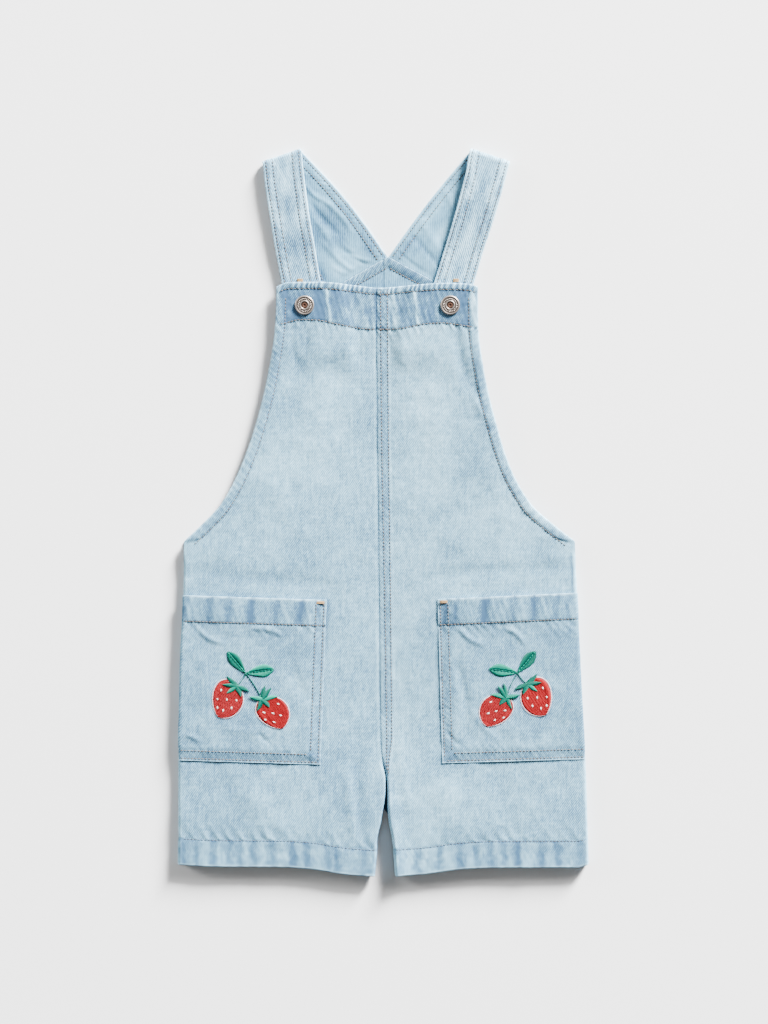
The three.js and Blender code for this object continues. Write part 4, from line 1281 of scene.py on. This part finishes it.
# Double rows along both edges of a strap, on the outer face up to the shoulder and then on the inner one
def strapStitches(side):
    outerFace, innerFace, normal, uv = strapSurfaces[side][:4]
    count = outerFace.shape[0]
    parts = []
    columns = np.arange(outerFace.shape[1])
    for face, facing, begin, end in ((outerFace, 1.0, 26, 118), (innerFace, -1.0, 112, count - 1)):
        for fromOuter in (True, False):
            for row in strapSizes["rows"]:
                index = np.arange(begin, end)
                width = np.ptp(uv[index, :, 0], axis=1)
                place = -width / 2 + row if fromOuter else width / 2 - row
                column = np.array([np.interp(p, uv[i, :, 0], columns) for p, i in zip(place, index)])
                low = np.clip(np.floor(column).astype(int), 0, len(columns) - 2)
                part = (column - low)[:, None]
                path = mix(face[index, low], face[index, low + 1], part)
                up = facing * mix(normal[index, low], normal[index, low + 1], part)
                parts.append(stitchesAlong(path + up * stitchSizes["lift"], up))
    return parts


# All seam stitches, as one mesh each for the front, its hems, the pockets, the straps and the back
def makeStitching():
    for name, top, rowsOf, thread in (
        ("frontStitches", frontTop, frontRowsOfStitches, "seam"),
        # the leg hems' row is sewn with the hem thread, a darker copy of the seam thread whose colour is
        # painted shade
        ("hemStitches", frontTop, hemRowsOfStitches, "hem"),
        ("pocketStitches", pocketTop, pocketRowsOfStitches, "seam"),
    ):
        parts = [stitchesAlong(*surfacePath(side, top, x, y)) for side in sides for x, y in rowsOf(side)]
        meshObject(name, *joined(parts), (threads[thread],))
    parts = [part for side in sides for part in strapStitches(side)]
    meshObject("strapStitches", *joined(parts), (threads["seam"],))

    parts = []
    for side in sides:
        sign = outwardX[side]
        x = np.linspace(back["apex"][0] + sign * 1.0, yokeRowEnds[side], 80)
        y = backTopEdge(side, x) - back["stitch"] / back["slopeCosine"]
        z = backInside(side, x, y)[0] + stitchSizes["lift"]
        parts.append(levelStitches(x, y, z, upward, stitchSizes["arch"]))
        x = np.linspace(backInner[side](-270.0) + sign * 5, sideSeam[side](-262.0) - sign * 6, 160)
        parts.append(levelStitches(x, hemEdge[side](x) + front["hemStitch"], 0.22, -upward, 0.1))
        y = np.linspace(196.0, -236.0, 300)
        parts.append(levelStitches(backInner[side](y) + sign * back["seamRow"], y, 0.22, -upward, 0.1))
    meshObject("backStitches", *joined(parts), (threads["seam"],))


# A bar tack: threads laid close beside each other over a short bar
def tackThreads(x, y, z, width, depth, count):
    offsets = np.linspace(-0.5, 0.5, count) * depth
    starts = np.stack([0 * offsets + x - width / 2, y + offsets, 0 * offsets + z], -1)
    ends = starts + np.array([width, 0, 0])
    return tubes(starts, ends, 0 * starts + upward, 0.3, 0.25)


# The bar tacks at the pockets' inner corners and on the bib over the straps
def makeTacks():
    parts = []
    for side in sides:
        shape = pockets[side]
        topX, topY = shape["innerTop"]
        x, y = topX + outwardX[side] * 5.6, topY - 2.0
        parts.append(tackThreads(x, y, float(pocketTop(side, x, y)) + 0.1, 8.2, 1.6, 5))
    for x, side in ((-66.8, "left"), (58.0, "right")):
        parts.append(tackThreads(x, 185.6, cloth["strapTop"] + 0.3, 5.0, 2.2, 6))
    meshObject("barTacks", *joined(parts), (threads["tack"],))


# Embroidery: strawberries with leaves, laid in satin stitch over each pocket. This gives a shape's base,
# its length, its forward direction and the direction to its left
def axisOf(base, tip):
    base, tip = np.array(base, float), np.array(tip, float)
    length = np.hypot(*(tip - base))
    forward = (tip - base) / length
    return base, length, forward, np.array([-forward[1], forward[0]])


# Threads across a shape given by its axis and its half width along it, for a share from 0 to 1. Each
# thread runs from edge to edge at a slant, in one or more pieces whose joints are staggered
def satin(base, tip, halfWidth, slant, spacing, pieces, radius):
    base, length, forward, sideways = axisOf(base, tip)
    share = np.arange(0.5 * spacing, length, spacing) / length
    half = halfWidth(share)
    odd = np.arange(len(share)) % 2
    starts, ends = [], []
    for piece in range(pieces):
        low = clamp01((piece + (0.5 * odd if piece else 0)) / pieces)
        high = clamp01((piece + 1 + (0.5 * odd if piece < pieces - 1 else 0)) / pieces)
        for store, part in ((starts, low), (ends, high)):
            reach = (2 * part - 1) * half
            place = base + forward * (share * length)[:, None] + sideways * reach[:, None]
            store.append(place + forward * (slant * reach)[:, None])
    return np.concatenate(starts), np.concatenate(ends), radius


# One half of a leaf: threads from the vein to the edge, which bulges as a sine and ends in a point
def halfLeaf(base, tip, width, hand, slant, spacing):
    base, length, forward, sideways = axisOf(base, tip)
    share = np.arange(0.4 * spacing, length, spacing) / length
    half = width / 2 * np.sin(np.pi * share) ** 0.66
    vein = base + forward * (share * length)[:, None] + hand * sideways * 0.12
    reach = np.minimum(share + slant * half / length * (1 - share), 0.99)
    edge = base + forward * (reach * length)[:, None] + hand * sideways * half[:, None]
    return vein, edge, 0.28


# One motif, in millimetres from the joint of its two leaves, as it lies on the left pocket. Seeds are given
# by their shares along a berry and across it; sepals by where their tips lie from the crown
berries = (
    {
        "top": (-8.0, -7.8),
        "tip": (-22.0, -34.8),
        "half": 12.7,
        "crown": (-7.2, -10.4),
        "seeds": ((0.35, -0.6), (0.6, -0.55), (0.5, 0.0), (0.4, 0.55), (0.8, -0.3), (0.8, 0.1), (0.64, 0.5)),
        "seedLean": (0.12, 1.0),
        "sepals": ((-8.0, 8.4), (-11.4, 1.4), (-8.2, -5.8), (3.6, -8.6), (10.4, -4.4)),
        "shift": {"left": (0.0, 0.0), "right": (-0.6, 1.2)},
    },
    {
        "top": (15.6, -19.4),
        "tip": (28.9, -44.2),
        "half": 12.0,
        "crown": (13.4, -21.4),
        "seeds": ((0.34, 0.55), (0.36, -0.56), (0.5, -0.05), (0.66, 0.34), (0.56, -0.7), (0.74, -0.26)),
        "seedLean": (1.0, -0.4),
        "sepals": ((2.2, 12.0), (7.2, 9.8), (12.8, 2.8), (5.6, -6.0), (-4.4, -9.0), (-10.8, 2.6)),
        "shift": {"left": (0.0, 0.0), "right": (-4.4, 1.2)},
    },
)
leaves = rows("tip width shade", ((-14.7, 17.3), 9.6, "green"), ((22.8, 3.0), 10.4, "leaf"))
motifJoint = {"left": (-110.2, -128.6), "right": (107.2, -128.2)}


# A strawberry's half width: round shoulders up to 0.42 of its length, then full sides to a round tip
def berryHalf(share):
    shoulder = np.sqrt(clamp01(1 - (1 - share / 0.42) ** 2))
    lower = clamp01(1 - clamp01((share - 0.42) / 0.58) ** 2.0) ** 0.7
    return np.where(share < 0.42, shoulder, lower)


# A sepal's half width: widest at a third of its length, then drawn out to a point
def sepalHalf(share):
    return 2.1 * np.sin(np.pi * share**0.78)


# Every thread of one motif about its leaf joint, by colour: (starts, ends, radius, lift)
def motifThreads(side):
    laid = {"red": [], "green": [], "leaf": [], "white": [], "halo": []}
    for leaf in leaves:
        tip = np.array(leaf["tip"])
        for half in (-1, 1):
            laid[leaf["shade"]].append((*halfLeaf((0, 0), tip, leaf["width"], half, 1.1, 0.55), 0.12))
        other = "leaf" if leaf["shade"] == "green" else "green"
        share = np.linspace(0.02, 0.96, 9)[:, None]
        laid[other].append((share[:-1] * tip, share[1:] * tip, 0.3, 0.36))
    for berry in berries:
        shift = np.array(berry["shift"][side])
        top, tip, crown = (np.array(berry[key]) + shift for key in ("top", "tip", "crown"))
        top, length, forward, sideways = axisOf(top, tip)
        half = berry["half"]
        fill = satin(top, tip, lambda share: half * berryHalf(share), 0.2, 0.5, 5, 0.33)
        laid["red"].append((*fill, 0.12))
        turn = np.linspace(0.02, np.pi - 0.02, 40)
        share = (1 - np.cos(turn)) / 2
        for hand in (-1, 1):
            reach = hand * (half * berryHalf(share) + 0.5)
            edge = top + forward * (share * length + 0.2 * reach)[:, None] + sideways * reach[:, None]
            laid["halo"].append((edge[:-1], edge[1:], 0.45, -0.16))
        lean = np.array(berry["seedLean"]) / np.hypot(*berry["seedLean"])
        for along, across in berry["seeds"]:
            place = top + forward * (along * length) + sideways * across * half
            for shift in (-0.32, 0.0, 0.32):
                middle = place + np.array([lean[1], -lean[0]]) * shift
                reach = lean * (1.4 if shift == 0 else 1.0)
                laid["white"].append(((middle - reach)[None], (middle + reach)[None], 0.26, 0.36))
        for number, tipPlace in enumerate(berry["sepals"]):
            shade = "leaf" if number % 3 == 2 else "green"
            lift = 0.42 + 0.1 * (number % 2)
            start = crown - 0.12 * np.array(tipPlace)
            sepal = satin(start, crown + np.array(tipPlace), sepalHalf, 0.9, 0.5, 1, 0.3)
            laid[shade].append((*sepal, lift))
        share = np.linspace(0, 1, 12)[:, None]
        stem = share * crown + np.sin(np.pi * share) * 0.8 * sideways
        laid["green"].append((stem[:-1], stem[1:], 0.4, 0.15))
    return laid


# One motif sewn on a pocket; the right one is the left one mirrored, with its berries a little moved
def makeEmbroidery(side):
    centre = np.array(motifJoint[side])
    flip = np.array([-outwardX[side], 1.0])
    for shade, bundles in motifThreads(side).items():
        parts = []
        for starts, ends, radius, lift in bundles:
            pair = []
            for places in (starts, ends):
                x = centre[0] + flip[0] * places[:, 0]
                y = centre[1] + places[:, 1]
                pair.append(np.stack([x, y, pocketTop(side, x, y) + lift], -1))
            parts.append(tubes(pair[0], pair[1], 0 * pair[0] + upward, radius, 0.22, 4))
        piece = meshObject(f"embroidery_{shade}_{side}", *joined(parts), (threads[shade],))


# Old plated metal: darker in its hollows, with fine scratches and uneven gloss
def metalMaterial(name, colour, worn, roughness):
    material, tree, shader = newMaterial(name)
    place = objectPlace(tree)
    patches = noiseNode(tree, place, 900.0, 4.0)
    hollow = calculate(tree, "MULTIPLY", attributeNode(tree, "hollow"), 0.8)
    factor = calculate(tree, "MULTIPLY_ADD", patches, 0.5, hollow)
    tree.links.new(mixColours(tree, factor, colour, worn), shader.inputs["Base Color"])
    shader.inputs["Metallic"].default_value = 0.85
    rough = calculate(tree, "MULTIPLY_ADD", patches, 0.25, roughness)
    tree.links.new(rough, shader.inputs["Roughness"])
    bump(tree, shader, noiseNode(tree, place, 2600.0, 3.0), 0.25, 0.00008)
    return material


plated = metalMaterial("platedMetal", (0.4, 0.35, 0.315), (0.06, 0.045, 0.036), 0.3)
copper = metalMaterial("copperMetal", (0.2, 0.1, 0.065), (0.03, 0.014, 0.01), 0.36)

# The buttons: where their middles are, the ring of beads, and the turned profiles of the cap and the nail
buttonSizes = {"y": 165.6, "overBib": 0.85, "beadZ": 0.6, "beadRing": 5.1, "beads": 26, "bead": 0.42}
buttonProfile = rows(
    "r z hollow",
    (0.0, -2.55, 1), (2.4, -2.55, 1), (2.4, -0.3, 1), (7.0, -0.3, 1), (7.5, -0.15, 0.8), (7.8, 0.1, 0.4),
    (7.7, 0.45, 0.1), (7.35, 0.7, 0), (7.0, 0.8, 0), (6.6, 0.76, 0.3), (6.35, 0.6, 0.9), (6.15, 0.55, 1),
    (5.8, 0.6, 0.5), (5.1, 0.6, 1.0), (4.5, 0.62, 0.5), (4.2, 0.56, 1), (4.0, 0.62, 0.8), (3.8, 0.8, 0.2),
    (3.45, 0.9, 0), (3.1, 0.84, 0.2), (2.75, 0.6, 0.9), (2.4, 0.4, 1), (2.3, 0.1, 1), (0.0, 0.1, 1),
)
nailProfile = rows(
    "r z hollow",
    (0.0, 0.12, 1), (2.35, 0.12, 1), (2.4, 0.38, 1), (2.1, 0.45, 0.6), (1.5, 0.6, 0.2), (0.9, 0.5, 0.5),
    (0.5, 0.3, 1), (0.0, 0.25, 1),
)


# A profile turned about the vertical through centre, as a grid of rings
def lathe(profile, centre, turns=72):
    r = np.array([row["r"] for row in profile])
    z = np.array([row["z"] for row in profile])
    hollow = np.array([row["hollow"] for row in profile], float)
    angle = np.linspace(0, 2 * np.pi, turns + 1)
    x = centre[0] + r[:, None] * np.cos(angle)
    y = centre[1] + r[:, None] * np.sin(angle)
    points = np.stack([x, y, centre[2] + z[:, None] + 0 * x], -1)
    return points.reshape(-1, 3), gridFaces(len(r), turns + 1)[:, ::-1], np.repeat(hollow, turns + 1)


# A ring of small half-sunk beads, each a flattened ball of rings
def beads(centre, radius, count, size):
    polar = np.linspace(0, 2 * np.pi, 9)
    rise = np.linspace(-np.pi / 2, np.pi / 2, 7)
    around = np.linspace(0, 2 * np.pi, count, endpoint=False)[:, None, None]
    x = centre[0] + radius * np.cos(around) + size * np.cos(rise)[None, :, None] * np.cos(polar)[None, None]
    y = centre[1] + radius * np.sin(around) + size * np.cos(rise)[None, :, None] * np.sin(polar)[None, None]
    z = centre[2] + 0.6 * size * np.sin(rise)[None, :, None] + 0 * x
    points = np.stack([x, y, z], -1).reshape(-1, 3)
    one = gridFaces(len(rise), len(polar))[:, ::-1]
    faces = (one[None] + (np.arange(count) * len(rise) * len(polar))[:, None, None]).reshape(-1, 4)
    return points, faces


# Points that coincide at a turned shape's seam and poles become one
def closeSeams(piece):
    shape = bmesh.new()
    shape.from_mesh(piece.data)
    bmesh.ops.remove_doubles(shape, verts=shape.verts, dist=2e-6)
    shape.to_mesh(piece.data)
    shape.free()


# One tack button: a turned cap with its ring of beads, and the copper nail in its middle
def makeButton(side):
    size = buttonSizes
    centre = np.array([straps[side]["buttonX"], size["y"], overStrapTop + size["overBib"]])
    cap, capFaces, capHollow = lathe(buttonProfile, centre)
    ring = centre + np.array([0, 0, size["beadZ"]])
    ringPoints, ringFaces = beads(ring, size["beadRing"], size["beads"], size["bead"])
    nail, nailFaces, nailHollow = lathe(nailProfile, centre)
    points, faces = joined([(cap, capFaces), (ringPoints, ringFaces), (nail, nailFaces)])
    hollow = np.concatenate([capHollow, np.zeros(len(ringPoints)), nailHollow])
    kinds = np.concatenate([np.zeros(len(capFaces) + len(ringFaces)), np.ones(len(nailFaces))])
    metals = (plated, copper)
    piece = meshObject(f"buttonMetal_{side}", points, faces, metals, kinds, fields={"hollow": hollow})
    closeSeams(piece)
    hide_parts(f"button_{side}")


for side in sides:
    makeFront(side)
    makeBack(side)
    makePocket(side)
    makeStrap(side)
    makeButton(side)
print("scene: cloth and buttons made")
makeStitching()
makeTacks()
print("scene: sewing made")
for side in sides:
    makeEmbroidery(side)
print("scene: embroidery made")


# The table, the light and the camera, in metres
studio = {
    "floorHalf": 2.2,
    "floorZ": -0.0002,
    "floorTones": (0.87, 0.89),
    "cameraHeight": 2.2,
    "frameHeight": 0.8192,
    "look": (0.0004, 0.00024, 0.006),
    "sky": 0.24,
}
lights = rows(
    "name place size energy",
    ("key", (6.4, 9.6, 3.35), 2.9, 18950.0),
    ("softener", (3.6, 4.3, 2.2), 2.2, 560.0),
    ("fill", (-9.06, 4.23, 2.5), 3.0, 1300.0),
)


# The pale table that the garment lies on
def makeFloor():
    material, tree, shader = newMaterial("paleTable")
    patches = noiseNode(tree, objectPlace(tree), 3.0)
    low, high = ((tone, tone, tone) for tone in studio["floorTones"])
    tree.links.new(mixColours(tree, patches, low, high), shader.inputs["Base Color"])
    shader.inputs["Roughness"].default_value = 0.8
    shader.inputs["Specular IOR Level"].default_value = 0.2
    half, z = studio["floorHalf"], studio["floorZ"]
    mesh = bpy.data.meshes.new("table")
    corners = [(-half, -half, z), (half, -half, z), (half, half, z), (-half, half, z)]
    mesh.from_pydata(corners, [], [(0, 1, 2, 3)])
    mesh.materials.append(material)
    floor = bpy.data.objects.new("table", mesh)
    bpy.context.scene.collection.objects.link(floor)


# A square lamp that looks at the middle of the table
def areaLight(name, place, size, energy):
    data = bpy.data.lights.new(name, "AREA")
    data.size = size
    data.energy = energy
    light = bpy.data.objects.new(name, data)
    bpy.context.scene.collection.objects.link(light)
    light.location = place
    x, y, z = place
    light.rotation_euler = (0, np.arctan2(np.hypot(x, y), z), np.arctan2(y, x))


# The lamps and the even light of the room
def makeLight():
    for light in lights:
        areaLight(**light)
    world = bpy.data.worlds.new("studio")
    world.use_nodes = True
    background = world.node_tree.nodes["Background"]
    background.inputs[0].default_value = (1.0, 1.0, 1.0, 1.0)
    background.inputs[1].default_value = studio["sky"]
    bpy.context.scene.world = world


# The camera, straight above the garment, at the photo's scale
def makeCamera():
    data = bpy.data.cameras.new("overhead")
    data.sensor_fit = "VERTICAL"
    data.sensor_height = 24.0
    data.lens = data.sensor_height * studio["cameraHeight"] / studio["frameHeight"]
    data.clip_end = 10.0
    camera = bpy.data.objects.new("overhead", data)
    bpy.context.scene.collection.objects.link(camera)
    x, y, z = studio["look"]
    camera.location = (x, y, z + studio["cameraHeight"])
    bpy.context.scene.camera = camera


makeFloor()
makeLight()
makeCamera()
print("scene: studio made")
